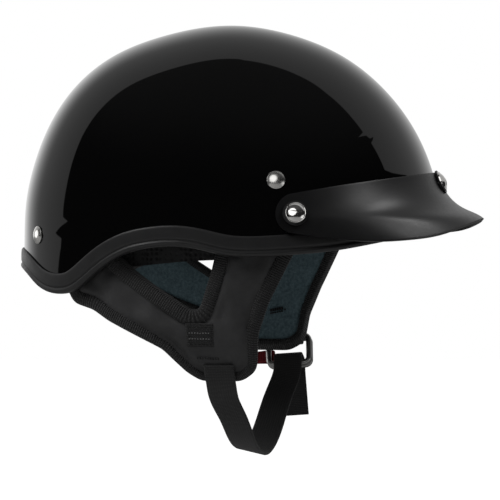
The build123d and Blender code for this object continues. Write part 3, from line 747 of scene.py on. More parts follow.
MATERIALS = {
    "paint": gloss_paint(),
    "rubber": satin_rubber(),
    "visor": satin_plastic(),
    "chrome": metal("polished_chrome", (0.80, 0.79, 0.77), 0.05, 0.16, 900),
    "nickel": metal("satin_nickel", (0.66, 0.65, 0.63), 0.20, 0.32, 1200),
    "plated": metal("dark_plated_steel", (0.36, 0.36, 0.35), 0.30, 0.42, 900),
    "steel": metal("plain_steel", (0.45, 0.45, 0.45), 0.30, 0.42, 900),
    "leather": leather(),
    "knit": weave("knit_tape", (0.0012, 0.0012, 0.0012), (0.030, 0.030, 0.0305), rib=1.5, row=2.1, depth=0.5),
    "fleece": fleece(),
    "webbing": weave("black_webbing", (0.006, 0.006, 0.006), (0.026, 0.026, 0.0265)),
    "patch": weave("patch_webbing", (0.006, 0.006, 0.006), (0.030, 0.030, 0.0305), depth=0.22),
    "red": weave("red_webbing", (0.10, 0.001, 0.004), (0.34, 0.004, 0.012), sheen=0.0),
    "mesh": spacer_mesh(),
    "cloth": brushed_cloth(),
    "foam": bead_foam(),
    "thread": thread("black_thread", 0.006),
    "grey_thread": thread("grey_thread", 0.22),
}
METALS = [MATERIALS[name].name for name in ("chrome", "nickel", "plated", "steel")]


def dress(obj, material, slot, *nodes, body="helmet", fill=None):
    """Material and body of a finished piece, and the nodes it stands for; the record slot and a pad's filling
    are not used.
    """
    obj.data.materials.clear()
    obj.data.materials.append(MATERIALS[material])
    if body:
        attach(obj, body)
    if nodes:
        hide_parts(*nodes)


# Shell and trim

def make_shell():
    def place(rise, turn):
        shrink = (1 - np.abs(np.sin(turn)) ** width_power) ** (1 / width_power)
        radius = shell.radius(rise)
        return radius * np.cos(rise) * shrink, radius * np.sin(rise) * shrink - axis_drop

    rises, turns = (np.radians(np.linspace(*span)) for span in (shell_rises, shell_turns))
    points, faces = clipped_grid(rises, turns, lambda a, t: above_rim(*place(a, t)) - shell_edge_height)
    x, z = place(*points.T)
    obj = new_object("shell", np.stack([x, shell.half_width * np.sin(points[:, 1]), z], 1), faces, 0)
    thicken(obj, shell_wall)
    dress(obj, "paint", "shell_paint", "outer_shell")


def rim_loop(count):
    """Points of the rim on the shell's outside, all the way round."""
    turn = np.linspace(0, 2 * pi, count, endpoint=False)

    def points(r):
        return np.stack([r * np.cos(turn), r * np.sin(turn), rim_height(r * np.cos(turn))], -1)
    loop = points(bisect(lambda r: shell.reach(points(r)) < 1, turn.shape))
    return evenly(np.vstack([loop, loop[:1]]), count + 1)[:-1]


def make_trim():
    loop = rim_loop(420)
    up = np.cross(shell.normal(loop), unit(np.roll(loop, -1, 0) - np.roll(loop, 1, 0)))
    up *= np.sign(up[:, 2:])
    section = spline_points(trim_section, 60, closed=True)[:-1]
    skin = shell.snap(loop[:, None] + up[:, None] * section[None, :, :1])
    obj = sweep("trim", skin + shell.normal(skin) * section[None, :, 1:], closed=True, sharp=0)
    dress(obj, "rubber", "trim_rubber", "edge_trim")


# Visor

def visor_table():
    """Heights up the visor, and its reach to the front and half width at each."""
    share, level_share = np.array(front_profile[::-1]).T
    rows = []
    for height, reach in sorted(visor_levels.items()):
        level = (height + axis_drop) / shell_up
        half = shell_half_width * (1 - level ** width_power) ** (1 / width_power) + visor_side_reach
        rows.append((height, shell_front * np.interp(level, level_share, share) + reach, half))
    return spline_points(rows, 500).T


visor_heights, visor_fronts, visor_halves = visor_table()


def visor_at(turn, height):
    """Point of the visor's outside at a plan turn from the front and a height."""
    front = np.interp(height, visor_heights, visor_fronts)
    half = np.interp(height, visor_heights, visor_halves)
    x = front * np.abs(np.cos(turn)) ** (2 / width_power)
    y = half * np.sign(np.sin(turn)) * np.abs(np.sin(turn)) ** (2 / width_power)
    return np.stack([x, y, height + 0 * x], -1)


def visor_turn(x, z):
    """Plan turn at which the visor passes a side-view place."""
    front = np.interp(z, visor_heights, visor_fronts)
    return np.arccos(np.clip(x / front, 0, 1) ** (width_power / 2))


def visor_outline():
    """Side-view outline from the free edge's front end, round the tab, to the top line's front end."""
    top = spline_points(side_points(visor_top_shares, visor_top_height), 200)
    edge = spline_points(side_points(visor_edge_shares, visor_top_height), 200)
    tip = np.array([visor_screw_place[0] - visor_tab_radius, visor_screw_place[1]])
    low, high = edge[-1], top[0]
    sides = np.array([tip - low, high - low])
    centre = np.linalg.solve(2 * sides, [tip @ tip - low @ low, high @ high - low @ low])
    first, last = (np.arctan2(*(p - centre)[::-1]) % (2 * pi) for p in (low, high))
    turns = np.linspace(first, last, 80)[1:-1]
    arc = centre + np.linalg.norm(low - centre) * np.stack([np.cos(turns), np.sin(turns)], 1)
    return np.vstack([edge, arc, top])


def make_visor():
    x, z = visor_outline().T
    turns = visor_turn(x, z)
    tip = int(np.argmax(turns))
    rows = []
    for step in np.linspace(-1, 1, 161):
        turn = turns[tip] * sin(abs(step) * pi / 2)
        bottom = np.interp(turn, turns[:tip + 1], z[:tip + 1])
        top = np.interp(turn, turns[tip:][::-1], z[tip:][::-1])
        rows.append(visor_at(np.sign(step) * turn, bottom + (top - bottom) * np.linspace(0, 1, 34)))
    rows = np.array(rows)
    obj = new_object("visor", rows.reshape(-1, 3), grid_faces(*rows.shape[:2]), 0)
    with editing(obj.data) as bm:
        bmesh.ops.remove_doubles(bm, verts=bm.verts, dist=0.05 * MM)
        bmesh.ops.recalc_face_normals(bm, faces=bm.faces)
        if sum(f.normal.x for f in bm.faces) < 0:
            bmesh.ops.reverse_faces(bm, faces=bm.faces)
    thicken(obj, visor_thickness)
    modify(
        obj, "BEVEL", width=visor_edge_round * MM, segments=3, limit_method="ANGLE", angle_limit=radians(50),
    )
    obj.data.shade_smooth()
    dress(obj, "visor", "visor_plastic", "visor_peak")


# Fasteners

def seat_frame(point, normal):
    """Matrix that stands local +Z on a normal, with local X level."""
    z = Vector(normal).normalized()
    x = Vector((0, 0, 1)).cross(z).normalized()
    m = Matrix((x, z.cross(x), z)).transposed().to_4x4()
    m.translation = Vector(point)
    return m


def lathe(name, profile, matrix, steps=72):
    """Turned piece from a (radius, height) profile that starts and ends on its axis."""
    turns = np.linspace(0, 2 * pi, steps, endpoint=False)
    inner = profile[1:-1]
    verts = [(0, 0, profile[0][1])]
    for radius, height in inner:
        verts += [(radius * cos(t), radius * sin(t), height) for t in turns]
    verts.append((0, 0, profile[-1][1]))
    last = 1 + (len(inner) - 1) * steps
    faces = [(0, 1 + i, 1 + (i + 1) % steps) for i in range(steps)]
    faces += [tuple(1 + v for v in face) for face in grid_faces(len(inner), steps, False, True)]
    faces += [(len(verts) - 1, last + (i + 1) % steps, last + i) for i in range(steps)]
    return new_object(name, [matrix @ Vector(v) for v in verts], faces, 35)


def domed_pin(name, matrix, head, seat=0.0):
    """Domed head with a rolled rim over its seat, on a shank."""
    radius, height = head["radius"] - head["dome_inset"], head["height"] - head["dome_loss"]
    ball = (radius ** 2 + height ** 2) / (2 * height)
    rise = height - ball
    turns = np.linspace(0, np.arcsin(radius / ball), head["steps"])
    profile = [(ball * sin(a), rise + ball * cos(a) + seat + head["dome_lift"]) for a in turns]
    profile += [(head["radius"] - inset, seat + level) for inset, level in head["rim"]]
    profile += [(head["shank"], profile[-1][1]), (head["shank"], head["end"]), (0, head["end"])]
    return lathe(name, profile, matrix)


def make_rivets():
    for end, (x, z) in rivet_places.items():
        for name, side in SIDES.items():
            point = shell.at(x, z, side)
            obj = domed_pin(f"rivet_{end}_{name}", seat_frame(point, shell.normal(point)), rivet_head)
            dress(obj, "nickel", "rivet_nickel", f"strap_rivet_{end}_{name}")


def visor_seats():
    """Places and normals of the three screws on the visor's outside."""
    def rise(turn, height):
        return visor_at(turn, height + 0.5) - visor_at(turn, height - 0.5)
    x, z = visor_screw_place
    turn = visor_turn(x, z)
    seats = {}
    for name, side in SIDES.items():
        p = visor_at(side * turn, z)
        normal = np.cross(visor_at(side * (turn + 0.02), z) - p, rise(side * turn, z))
        seats[name] = (p, normal * np.sign(normal[1] * side))
    up = rise(0.0, visor_front_height)
    seats["front"] = (visor_at(0.0, visor_front_height), np.array([up[2], 0, -up[0]]))
    return seats


def make_screws():
    slot_floor = washer_top + screw_head["height"] - slot_depth
    box = [
        (x * (screw_head["radius"] - slot_inset), y * slot_width / 2, slot_floor + z * slot_clearance)
        for x in (-1, 1) for y in (-1, 1) for z in (0, 1)
    ]
    faces = [(0, 1, 3, 2), (4, 6, 7, 5), (0, 4, 5, 1), (2, 3, 7, 6), (0, 2, 6, 4), (1, 5, 7, 3)]
    for name, (point, normal) in visor_seats().items():
        matrix = seat_frame(point, normal)
        obj = domed_pin(f"screw_{name}", matrix, screw_head, washer_top)
        turned = matrix @ Matrix.Rotation(radians(slot_turns[name]), 4, "Z")
        cutter = new_object("cutter", [turned @ Vector(c) for c in box], faces, 0)
        modify(obj, "BOOLEAN", operation="DIFFERENCE", solver="EXACT", object=cutter)
        remove(cutter)
        obj.data.shade_smooth()
        obj.data.set_sharp_from_angle(angle=radians(30))
        dress(obj, "chrome", "screw_chrome", f"visor_screw_{name}")


# Ear pads

def rounded(corners, radii, step=1.4):
    """Closed line with round corners."""
    line = []
    corners = np.array(corners, float)
    lasts, nexts = np.roll(corners, 1, 0), np.roll(corners, -1, 0)
    for corner, last, following, wanted in zip(corners, lasts, nexts, radii):
        before, after = last - corner, following - corner
        room = edge_use * min(np.linalg.norm(before), np.linalg.norm(after))
        before, after = unit(before), unit(after)
        half = np.arccos(np.clip(before @ after, -1, 1)) / 2
        setback = min(wanted / tan(half), room)
        centre = corner + unit(before + after) * (setback / cos(half))
        start, end = corner + before * setback - centre, corner + after * setback - centre
        sweep_angle = pi - 2 * half
        turn = np.sign(start[0] * end[1] - start[1] * end[0]) * sweep_angle
        square = np.array([-start[1], start[0]])
        for t in np.linspace(0, turn, max(4, int(abs(sweep_angle) * setback * tan(half) / step) + 2)):
            line.append(centre + (start * cos(t) + square * sin(t)))
    return evenly(np.vstack([line, line[:1]]), 421)[:-1]


def pad_outline(side):
    shares = pad_notch_shares + pad_rear_shares + pad_lobe_shares
    corners = []
    for x, z in shares:
        low = max(0, (pad_notch_share - z) / (pad_notch_share + 1))
        corners.append((x * pad_reach, z * pad_depth + lobe_lift(side) * low))
    notch = [z for _, z in shares].index(pad_notch_share)
    radii = [pad_notch_radius if k == notch else pad_edge_radius for k in range(len(shares))]
    line = rounded(corners, radii)
    area = np.sum(line[:, 0] * np.roll(line[:, 1], -1) - line[:, 1] * np.roll(line[:, 0], -1))
    return line if area > 0 else line[::-1]


def hidden_top(x, z):
    """Positive below the line where the pads end inside the shell."""
    return np.minimum(pad_tuck_height - above_rim(x, z), (pad_tuck_share - harness.share(x, z)) * 100)


def fold_height(x, z, lift):
    """Height of the leather's folds and slack, none where something is sewn on."""
    total = np.zeros(np.shape(x))
    for (x0, z0), (x1, z1), width, height in pad_folds:
        run = np.array([x1 - x0, z1 - z0], float)
        share = np.clip(((x - x0) * run[0] + (z - z0) * run[1]) / (run @ run), 0, 1)
        gap = np.hypot(x - x0 - share * run[0], z - z0 - share * run[1])
        ends = np.sin(pi * np.clip(share, 0.08, 0.92)) ** 0.5
        total += fold_scale * height * np.exp(-(gap / width) ** 2) * ends
    for height, x0, z0, phase, x1, z1 in pad_waves:
        total += height * np.sin(x / x0 + z / z0 + phase) * np.sin(x / x1 + z / z1)
    for calm_x, calm_z in calm_places:
        total *= 1 - np.exp(-(np.hypot(x - calm_x, z - calm_z - lift) / calm_radius) ** 4)
    return total


def make_pads():
    for name, side in SIDES.items():
        outline = pad_outline(side)
        inside = distance_inside(outline)
        xs, zs = (np.arange(v.min() - 2, v.max() + 3.5, pad_cell) for v in outline.T)
        points, faces = clipped_grid(
            xs, zs, lambda x, z: np.minimum(inside(x, z) - pad_panel_inset, hidden_top(x, z) - 0.5),
        )
        x, z = points.T
        depth = inside(x, z)
        edge = np.clip((depth - pad_edge_start) / pad_edge_run, 0, 1)
        crown = np.sin(edge * pi / 2)
        folds = fold_height(x, z, lobe_lift(side)) * edge
        crease = pad_crease * np.exp(-((depth - pad_crease_inset) / pad_crease_width) ** 2)
        level = 0 * x
        front = -pad_leather - fit_gap
        rear = front - pad_fleece + pad_sink - lining_swell * crown - lining_fold_share * folds
        for piece, material, fill, outer, inner in (
            ("pad", "leather", 0.6, pad_swell * crown - pad_sink - crease + folds, level - pad_leather),
            ("lining", "fleece", 0.5, level + front, rear),
        ):
            skins = (harness.at(x, z, side, out) for out in (outer, inner))
            obj = slab(f"{piece}_{name}", points, faces, *skins)
            dress(obj, material, f"{piece}_{material}", f"ear_{piece}_{name}", fill=fill)
        make_binding(name, side, outline)


def binding_width(x, z):
    """Visible width of the tape: wide at the notch and the front edge, narrow along the bottom."""
    low = np.clip((z + 50) / -30, 0, 1)
    rear = np.clip((-x - 10) / 30, 0, 1)
    lower_edge = np.where(z < np.where(x < 0, 0.62 * x - 48, -80), 1.0, 0.0)
    return binding_wide - binding_loss * np.maximum(low * 0.8, rear * lower_edge)


def make_binding(name, side, outline):
    """Tape folded round the edge of a pad, in the runs that show below the shell."""
    hidden = hidden_top(*outline.T) < 0
    start = int(np.argmax(hidden & ~np.roll(hidden, -1)))
    order = np.roll(np.arange(len(outline)), -start - 1)
    runs = np.split(order, np.flatnonzero(np.diff(hidden[order])) + 1)
    thick = pad_leather + fit_gap + pad_fleece
    shape = [*binding_face, (0.0, -thick / 2), *((share, -out - thick) for share, out in binding_face[::-1])]
    shape = evenly(shape + shape[:1], 45)[:-1]
    parts = []
    for run in runs:
        if hidden[run[0]] or len(run) < 7:
            continue
        path = outline[run]
        for _ in range(3):
            path[1:-1] = (path[:-2] + 2 * path[1:-1] + path[2:]) / 4
        width = binding_width(*path.T)
        inner = np.maximum(binding_inner_share * width, binding_inner_least)
        section = np.repeat(shape[None], len(path), 0)
        section[..., 0] *= np.where(shape[None, :, 1] < -thick / 2, inner[:, None], width[:, None])
        parts.append(surface_band(f"binding_{name}_{len(parts)}", harness, side, path, section, sharp=60))
    obj = joined(f"binding_{name}", parts)
    obj.data.shade_smooth()
    dress(obj, "knit", "binding_knit", f"ear_binding_{name}")


# Comfort pads

def make_crown():
    turns = np.linspace(0, 2 * pi, 96, endpoint=False)
    share, turn = np.meshgrid(np.linspace(0, 1, 26), turns, indexing="ij")
    radius = np.maximum(crown_pad_radius * share, 0.4)
    x, y = radius * np.cos(turn), radius * np.sin(turn)
    z = bisect(lambda z: liner.reach(np.stack([x, y, z], -1)) < 1, x.shape)
    skin = np.stack([x, y, z], -1)
    puff = comfort_thickness * (1 - 0.55 * share ** 8) + crown_swell * (1 - share ** 2)
    puff -= crown_seam * np.exp(-((share - 0.5) / 0.05) ** 2)
    rows = np.vstack([liner.moved(skin, -fit_gap), liner.moved(skin, -(fit_gap + puff))[::-1]])
    obj = new_object("crown_cushion", rows.reshape(-1, 3), grid_faces(*rows.shape[:2], False, True), 60)
    with editing(obj.data) as bm:
        bmesh.ops.holes_fill(bm, edges=[e for e in bm.edges if e.is_boundary])
        bmesh.ops.recalc_face_normals(bm, faces=bm.faces)
    dress(obj, "cloth", "comfort_cloth", "crown_pad", fill=0.6)


def make_brow():
    levels = np.linspace(brow_pad_low + brow_edge_gap, brow_pad_high - brow_edge_gap, 16)
    turn, z = np.meshgrid(np.linspace(-1, 1, 90), levels, indexing="ij")
    y = brow_half_width * turn
    x = bisect(lambda x: liner.reach(np.stack([x, y, z], -1)) < 1, y.shape)
    edge = (z - brow_pad_low) / (brow_pad_high - brow_pad_low)
    puff = comfort_thickness * (1 - 0.5 * (2 * edge - 1) ** 6) * (1 - 0.5 * np.abs(turn) ** 10)
    puff += brow_swell * np.sin(edge * pi)
    puff -= brow_seam * np.exp(-(np.sin(turn * 5 * pi / 2) / 0.12) ** 2)
    skin = np.stack([x, y, z], -1)
    under = liner.moved(skin, -(fit_gap + np.maximum(puff, brow_least)))
    obj = sweep("brow_cushion", np.concatenate([liner.moved(skin, -fit_gap), under[:, ::-1]], 1), sharp=60)
    dress(obj, "cloth", "comfort_cloth", "brow_pad", fill=0.6)


def make_nape():
    """Spacer mesh skirt inside the rim, round the back and along both sides."""
    low_x, low_z = spline_points(side_points(skirt_shares, rim_depth), 300).T
    first = radians(skirt_start_turn)
    turns = np.linspace(first, 2 * pi - first, 150)
    turn, share = np.meshgrid(turns, np.linspace(0, 1, 14), indexing="ij")

    def points(r):
        x, y = r * np.cos(turn), r * np.sin(turn)
        bottom = np.interp(x, low_x, low_z)
        top = rim_height(x) + (liner_edge_height - fit_gap)
        return np.stack([x, y, bottom + (top - bottom) * share], -1)
    skin = points(bisect(lambda r: skirt.reach(points(r)) < 1, turn.shape))
    front = skirt.moved(skin, -(0.2 + skirt_face_drop * (1 - share) ** 3))
    back = skirt.moved(skin, -(comfort_thickness - skirt_back_drop * (1 - share) ** 4))
    obj = sweep("nape_skirt", np.concatenate([front, back[:, ::-1]], 1), sharp=60)
    dress(obj, "mesh", "comfort_mesh", "nape_pad", fill=0.5)


# Webbing on the helmet

def make_side_straps():
    section = web_section(web_width, web_thickness)
    section[:, 1] -= shell_wall + strap_depth + web_thickness / 2
    for end, start in rivet_places.items():
        for name, side in SIDES.items():
            a, b = np.array(start, float), np.array(strap_ends[end], float)
            heading = unit(b - a)
            path = evenly([a - heading * strap_overlap, b - heading * strap_shortfall], 40)
            obj = surface_band(f"side_strap_{end}_{name}", shell, side, path, section)
            dress(obj, "webbing", "webbing", f"strap_{end}_{name}")


def stitches(name, paths, out, side, material, stitch, face=1):
    """Short thread stitches along side-view lines on a pad's outer or inner face."""
    length, gap, radius = stitch
    verts, faces = [], []
    shares = np.linspace(0, 1, 7)
    ring = 6
    for path in paths:
        path = evenly(path, max(2, int(lengths(np.array(path, float))[-1] / 0.3)))
        total = lengths(path)
        start = gap / 2
        while start + length < total[-1]:
            x, z = (np.interp(start + length * shares, total, path[:, k]) for k in (0, 1))
            centres = harness.at(x, z, side, out + face * thread_rise * np.sin(pi * shares) ** 0.6)
            normals = harness.normal(centres)
            across = np.cross(unit(np.gradient(centres, axis=0)), normals)
            radii = radius * (0.35 + 0.65 * np.sin(pi * shares) ** 0.5)
            faces += [tuple(len(verts) + v for v in face) for face in skin_faces(len(shares), ring)]
            verts += list(tube_rows(centres, across, normals, radii, ring).reshape(-1, 3))
            start += length + gap
    dress(new_object(name, verts, faces, 0), material, "patch_webbing")


def make_patches():
    section = web_section(patch_width, patch_web)
    section[:, 1] += patch_out
    w, h = patch_width / 2 - patch_inset, patch_height / 2 - patch_inset
    for name, side in SIDES.items():
        lift = lobe_lift(side)
        cx, cz = patch_place[0], patch_place[1] + lift
        path = evenly([(cx, cz + patch_height / 2), (cx, cz - patch_height / 2)], 24)
        obj = surface_band(f"patch_{name}", harness, side, path, section)
        dress(obj, "patch", "patch_webbing", f"strap_patch_{name}")
        box = [(cx + a * w, cz + b * h) for a, b in ((-1, -1), (1, -1), (1, 1), (-1, 1), (-1, -1))]
        stitches(f"patch_frame_{name}", [box], patch_thread_out, side, "thread", frame_stitch)
        rows = [[(cx - w, cz + k), (cx + w, cz + k)] for k in patch_rows]
        stitches(f"patch_rows_{name}", rows, patch_thread_out, side, "grey_thread", row_stitch)
        rows = [[(x, z + lift + k) for x, z in root_tack] for k in root_tack_rows]
        stitches(f"root_tack_{name}", rows, root_thread_out, side, "thread", root_stitch)
        rows = [[(x, z + k) for x, z in lining_tack] for k in lining_tack_rows]
        rows.append([rows[0][1], rows[-1][1]])
        out = -(pad_leather + fit_gap + pad_fleece) - lining_thread_out
        stitches(f"lining_tack_{name}", rows, out, side, "thread", lining_stitch, face=-1)


# Chin strap and buckle

def harness_frame(x, z, side, out):
    """Origin and axes on the pads: forward, down along the surface, outward."""
    half = shell_half_width - shell_wall - harness_depth
    level = (-z - axis_drop) / harness_low
    share = (1 - level ** width_power) ** (1 / width_power)
    fall = half / harness_low * (level / share) ** (width_power - 1)
    outward = Vector((0, side, -fall)).normalized()
    origin = Vector((x, side * half * share, z)) + outward * out
    forward = Vector((1, 0, 0))
    normal = outward * side
    return origin, forward, normal.cross(forward), normal


web_middle = fit_gap + web_thickness / 2
pivot_drop = web_width / 2 + anchor_gap
edge_down = harness_frame(anchor_x, -pad_depth, -1, web_middle)[2]
pivot_z = -pad_depth - (pivot_drop + anchor_gap) * abs(edge_down.z)
pivot, _, pivot_down, _ = harness_frame(anchor_x, pivot_z, -1, web_middle)
buckle_origin, level_x, _, buckle_z = harness_frame(*ring_place, 1, 0)
buckle_x = (Matrix.Rotation(radians(-ring_tilt), 4, buckle_z) @ level_x).normalized()
buckle_y = buckle_z.cross(buckle_x)
inner_out = fit_gap + web_thickness + loop_gap + ring_wire / 2
outer_out = inner_out + ring_wire + ring_gap
fold_radius = ring_wire / 2 + fold_side_gap + web_thickness / 2
fold_down = ring_length - fold_slack + fold_side_gap
fold_in, fold_out = inner_out - fold_radius, outer_out + fold_radius


def buckle_point(down, out, forward=0.0):
    return buckle_origin + buckle_y * down + buckle_z * out + buckle_x * forward


def buckle_line(places):
    return np.array([tuple(buckle_point(*place)) for place in places])


def strap_frames(centres, rolls):
    """Directions across the webbing along a line, rolled about it."""
    across = []
    for heading, roll in zip(unit(np.gradient(centres, axis=0)), rolls):
        heading = Vector(heading)
        level = (Vector((1, 0, 0)) - heading * heading.x).normalized()
        across.append(Matrix.Rotation(radians(roll), 3, heading) @ level)
    return np.array(across)


def make_chin_strap():
    """Webbing from its sewn root down to the chin and up to the rings, in two pieces."""
    root = [
        harness_frame(anchor_x, z, -1, web_middle + lift)[0]
        for z, lift in ((anchor_top, 0.6), ((anchor_top - pad_depth) / 2, 0.8), (-pad_depth, 0.5))
    ]
    root.append(pivot + pivot_down * pivot_leg)
    legs = [buckle_point(fold_down + leg, fold_in) for leg in (fold_leg, fold_end)]
    line = spline_points([tuple(p) for p in (*root, *strap_path, *legs)], 221)
    total = lengths(line)
    start = total[np.argmin(np.linalg.norm(line - np.array(pivot), axis=1))]
    rolls = strap_roll * np.sin(pi * np.clip((total - start) / (total[-1] - start), 0, 1))
    chin = int(np.argmin(line[:, 2]))
    across = strap_frames(line, rolls)[:chin + 1]
    near = path_sweep("chin_strap_near", line[:chin + 1], across, web_section(web_width, web_thickness))
    dress(near, "webbing", "webbing", "chin_strap", "strap_anchor", body=None)
    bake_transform(near)
    make_far_strap(line[chin:], total[chin:], rolls[chin:])


def make_far_strap(line, total, rolls):
    """The strap's far half, its fold over the rings and its hanging end."""
    quarter = np.linspace(0, pi / 2, 12)
    fold = [(fold_down - fold_radius * sin(t), inner_out - fold_radius * cos(t)) for t in quarter]
    fold += [(fold_down - fold_radius * cos(t), outer_out + fold_radius * sin(t)) for t in quarter]
    hinge = buckle_point(fold_down + tail_drop + web_thickness, fold_out)
    over_hinge = hinge - buckle_y
    hang = Vector((0, 0, -1))
    hang = (hang - buckle_x * hang.dot(buckle_x)).normalized()
    tail = [hinge + hang * d for d in np.linspace(tail_start, tail_length, 12)]
    points = np.vstack([line[:-4], buckle_line(fold), np.array([tuple(p) for p in [over_hinge] + tail])])
    points = spline_points(evenly(points, 60), 200)
    along = lengths(points)
    fold_place = np.array(buckle_point(fold_down - fold_radius, (inner_out + outer_out) / 2))
    at_fold = int(np.argmin(np.linalg.norm(points - fold_place, axis=1)))
    mix = np.clip((along[at_fold] - roll_end - along) / roll_run, 0, 1)
    blend = (mix ** 2 * (3 - 2 * mix))[:, None]
    free = strap_frames(points, np.interp(along, total - total[0], rolls))
    across = free * blend + np.array(buckle_x) * (1 - blend)
    section = web_section(web_width, web_thickness)
    far = path_sweep("chin_strap_far", points, across, section, along_start=total[0])
    dress(far, "webbing", "webbing", "strap_tail", body=None)
    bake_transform(far)


def buckle_band(name, places, across, width, thickness, cells=10):
    """Pressed webbing along (down, out, forward) places on the buckle."""
    points = buckle_line(spline_points(places, 90))
    section = web_section(width, thickness * pressed_share, cells)
    return path_sweep(name, points, np.tile(across, (len(points), 1)), section)


def make_buckle_strap():
    """Webbing loop that holds both rings, sewn together above them."""
    half = web_thickness / 2
    radius = ring_wire / 2 + loop_gap + half
    end = fit_gap + web_thickness * 1.6
    line = [(-back, fit_gap + half) for back in loop_root]
    line += [(radius * cos(t), inner_out - radius * sin(t)) for t in np.linspace(pi / 2, 0, 8)]
    line += [(radius * cos(t), outer_out + radius * sin(t)) for t in np.linspace(0, pi * 0.55, 10)]
    line += [(-loop_end[0], end + loop_end_rise), (-loop_end[1], end)]
    obj = buckle_band("buckle_webbing", line, buckle_x, web_width - 1, web_thickness)
    dress(obj, "webbing", "webbing", "buckle_strap")


def make_rings():
    flat, tall = ring_half_width - ring_corner, ring_length - ring_corner
    corners = ((flat, tall), (-flat, tall), (-flat, ring_corner), (flat, ring_corner))
    out = np.array([buckle_z])
    for name, height in {"inner": inner_out, "outer": outer_out}.items():
        line = []
        for k, (x, down) in enumerate(corners):
            for t in np.radians(np.linspace(90 * k, 90 * k + 90, 9)):
                line.append((down + ring_corner * sin(t), x + ring_corner * cos(t)))
        centres = buckle_line([(down, height, x) for down, x in evenly(line + line[:1], 161)[:-1]])
        across = np.cross(unit(np.roll(centres, -1, 0) - np.roll(centres, 1, 0)), out)
        obj = sweep(f"ring_{name}", tube_rows(centres, across, out, ring_wire / 2, 20), closed=True, sharp=0)
        dress(obj, "plated", "ring_steel", f"d_ring_{name}", body="buckle_rings")


def make_tab():
    """Red pull tab folded round the rear side of the outer ring."""
    radius = ring_wire / 2 + loop_gap + tab_web / 2
    line = [(-tab_reach - 0.4, 0.62), (-tab_reach + tab_end, 0.56), (-tab_reach / 2.2, 0.75)]
    line = [(x, tab_web * share) for x, share in line]
    back = [(x, -out) for x, out in line[::-1]]
    back[-1] = (-tab_reach - 0.2, back[-1][1])
    line += [(radius * cos(t), radius * sin(t)) for t in np.radians(np.linspace(110, -110, 17))]
    down = ring_length - ring_corner - tab_width / 2
    places = [(down, outer_out + out, x - ring_half_width) for x, out in line + back]
    obj = buckle_band("pull_tab", places, buckle_y, tab_width, tab_web, 6)
    dress(obj, "red", "tab_webbing", "release_tab", body="release_tab")


def dress_nodes():
    """Materials for the solids that stay: liner, washers, nuts and burrs."""
    for name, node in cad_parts.items():
        if node.hide_render:
            continue
        material = "rubber" if name.startswith("visor_washer") else "steel"
        if name == "impact_liner":
            material = "foam"
        node.data.materials.clear()
        node.data.materials.append(MATERIALS[material])


# Camera, floor and light

def aimed(name, data, place, direction):
    """Camera or lamp at a place, looking along a direction."""
    obj = in_scene(name, data)
    obj.location = place
    obj.rotation_mode = "QUATERNION"
    obj.rotation_quaternion = direction.to_track_quat("-Z", "Y")
    return obj


def make_camera():
    """Camera, and its directions to the right, up and ahead."""
    forward = Vector((-sin(view_turn) * cos(view_rise), cos(view_turn) * cos(view_rise), -sin(view_rise)))
    right = Vector((cos(view_turn), sin(view_turn), 0))
    up = right.cross(forward)
    aside, above = ((frame_middle - centre) * pixel_size for centre in view_centre)
    data = bpy.data.cameras.new("camera")
    data.sensor_width = sensor_width
    data.lens = sensor_width * view_distance / (2 * frame_middle * pixel_size)
    data.clip_start, data.clip_end = 0.05, 50
    place = (right * aside - up * above - forward * view_distance) * MM
    bpy.context.scene.camera = aimed("camera", data, place, forward)
    return right, up, forward


def make_floor():
    mesh = bpy.data.meshes.new("floor")
    with editing(mesh) as bm:
        bmesh.ops.create_circle(bm, cap_ends=True, segments=96, radius=floor_radius)
    floor = in_scene("floor", mesh)
    floor.location = (0, 0, floor_height)
    pale = Nodes(bpy.data.materials.new("pale_floor"))
    pale.tree.nodes.clear()
    seen = pale.math("MULTIPLY", pale.add("LightPath").outputs["Is Camera Ray"], floor_glow)
    diffuse = pale.add("BsdfDiffuse", Color=(floor_tone, floor_tone, floor_tone, 1))
    glow = pale.add("Emission", Color=(1, 1, 1, 1), Strength=seen)
    both = pale.add("AddShader", i0=diffuse.outputs[0], i1=glow.outputs[0])
    pale.add("OutputMaterial", Surface=both.outputs[0])
    floor.data.materials.append(pale.owner)


def backdrop_edge(world, points, height):
    """The backdrop's edge by height, through a ramp that holds it half a unit up."""
    ramp = world.add("ValToRGB", i0=world.math("MULTIPLY_ADD", height, 0.5, 0.5))
    stops = ramp.color_ramp.elements
    while len(stops) < len(points):
        stops.new(1.0)
    for stop, (place, value) in zip(stops, points):
        stop.position = place / 2 + 0.5
        stop.color = (value + 0.5,) * 3 + (1,)
    return world.math("SUBTRACT", ramp.outputs["Color"], 0.5)


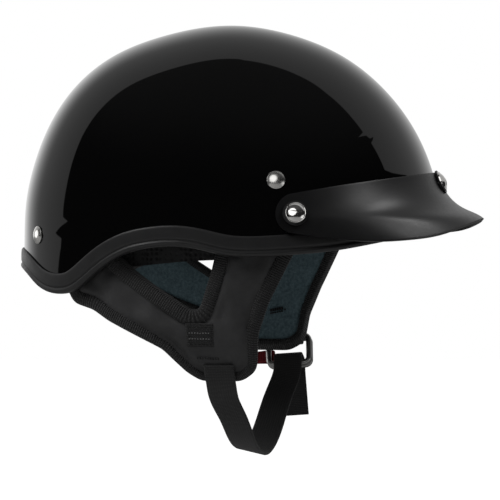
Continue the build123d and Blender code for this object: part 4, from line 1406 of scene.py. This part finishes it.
def make_world(right, up, forward):
    """White behind the object, dark round the camera, even light for matt surfaces."""
    world = Nodes(bpy.data.worlds.new("studio"))
    bpy.context.scene.world = world.owner
    world.tree.nodes.clear()
    math = world.math

    def step(value, low, high, out_low=0.0, out_high=1.0):
        return world.ranged(value, low, high, out_low, out_high, "SMOOTHSTEP")
    direction = world.add("TexCoord").outputs["Generated"]
    across, height, ahead = (
        world.add("VectorMath", {"operation": "DOT_PRODUCT"}, i0=direction, i1=axis).outputs["Value"]
        for axis in (right, up, forward)
    )
    side = step(across, -0.02, 0.02)
    left = math("MULTIPLY", backdrop_edge(world, left_edge, height), math("SUBTRACT", 1.0, side))
    start = math("ADD", left, math("MULTIPLY", backdrop_edge(world, right_edge, height), side))
    seen = step(math("SUBTRACT", ahead, start), 0.0, 0.012)
    glow = math("MULTIPLY", step(ahead, 0.55, 0.98), step(across, -0.5, 0.1, 0.9, 0.25))
    bright = math("MULTIPLY", seen, math("ADD", backdrop_level, glow))
    dim = math("MULTIPLY", math("SUBTRACT", 1.0, seen), step(height, 0.35, 1.0, 0.015, 0.075))
    rays = world.add("LightPath").outputs
    glossy = math("MULTIPLY", rays["Is Glossy Ray"], math("ADD", bright, dim))
    other = math("SUBTRACT", 1.0, math("MAXIMUM", rays["Is Glossy Ray"], rays["Is Camera Ray"]))
    level = math("ADD", glossy, math("MULTIPLY", other, matt_level))
    level = math("ADD", level, rays["Is Camera Ray"])
    background = world.add("Background", Color=(1, 1, 1, 1), Strength=level)
    world.add("OutputWorld", Surface=background.outputs[0])


def make_lights(*axes):
    """Round lamps aimed at the object. One with pieces of its own lights them alone, also in reflections."""
    pieces = [obj for obj in bpy.context.scene.objects if obj.type == "MESH" and obj.name != "floor"]
    metal = [obj for obj in pieces if obj.data.materials and obj.data.materials[0].name in METALS]
    soft = [obj for obj in pieces if obj not in metal and obj.name not in ("shell", "visor")]
    lit = {"metal": metal, "soft": soft, "visor": [obj for obj in pieces if obj.name == "visor"]}
    for name, (kind, shares, distance, size, radiance) in LAMPS.items():
        direction = sum((axis * share for axis, share in zip(axes, shares)), Vector())
        data = bpy.data.lights.new(name, "AREA")
        data.shape, data.size = "DISK", size
        data.energy = radiance * pi * size ** 2
        lamp = aimed(name, data, direction.normalized() * distance, -direction)
        if kind is None:
            lamp.visible_glossy = False
            continue
        receivers = bpy.data.collections.new(name + "_receivers")
        for piece in lit[kind]:
            receivers.objects.link(piece)
        lamp.light_linking.receiver_collection = receivers


make_shell()
make_trim()
make_visor()
make_rivets()
make_screws()
make_pads()
make_crown()
make_brow()
make_nape()
make_side_straps()
make_patches()
make_chin_strap()
make_buckle_strap()
make_rings()
make_tab()
dress_nodes()
axes = make_camera()
make_floor()
make_world(*axes)
make_lights(*axes)
bpy.context.scene.view_settings.view_transform = "Standard"
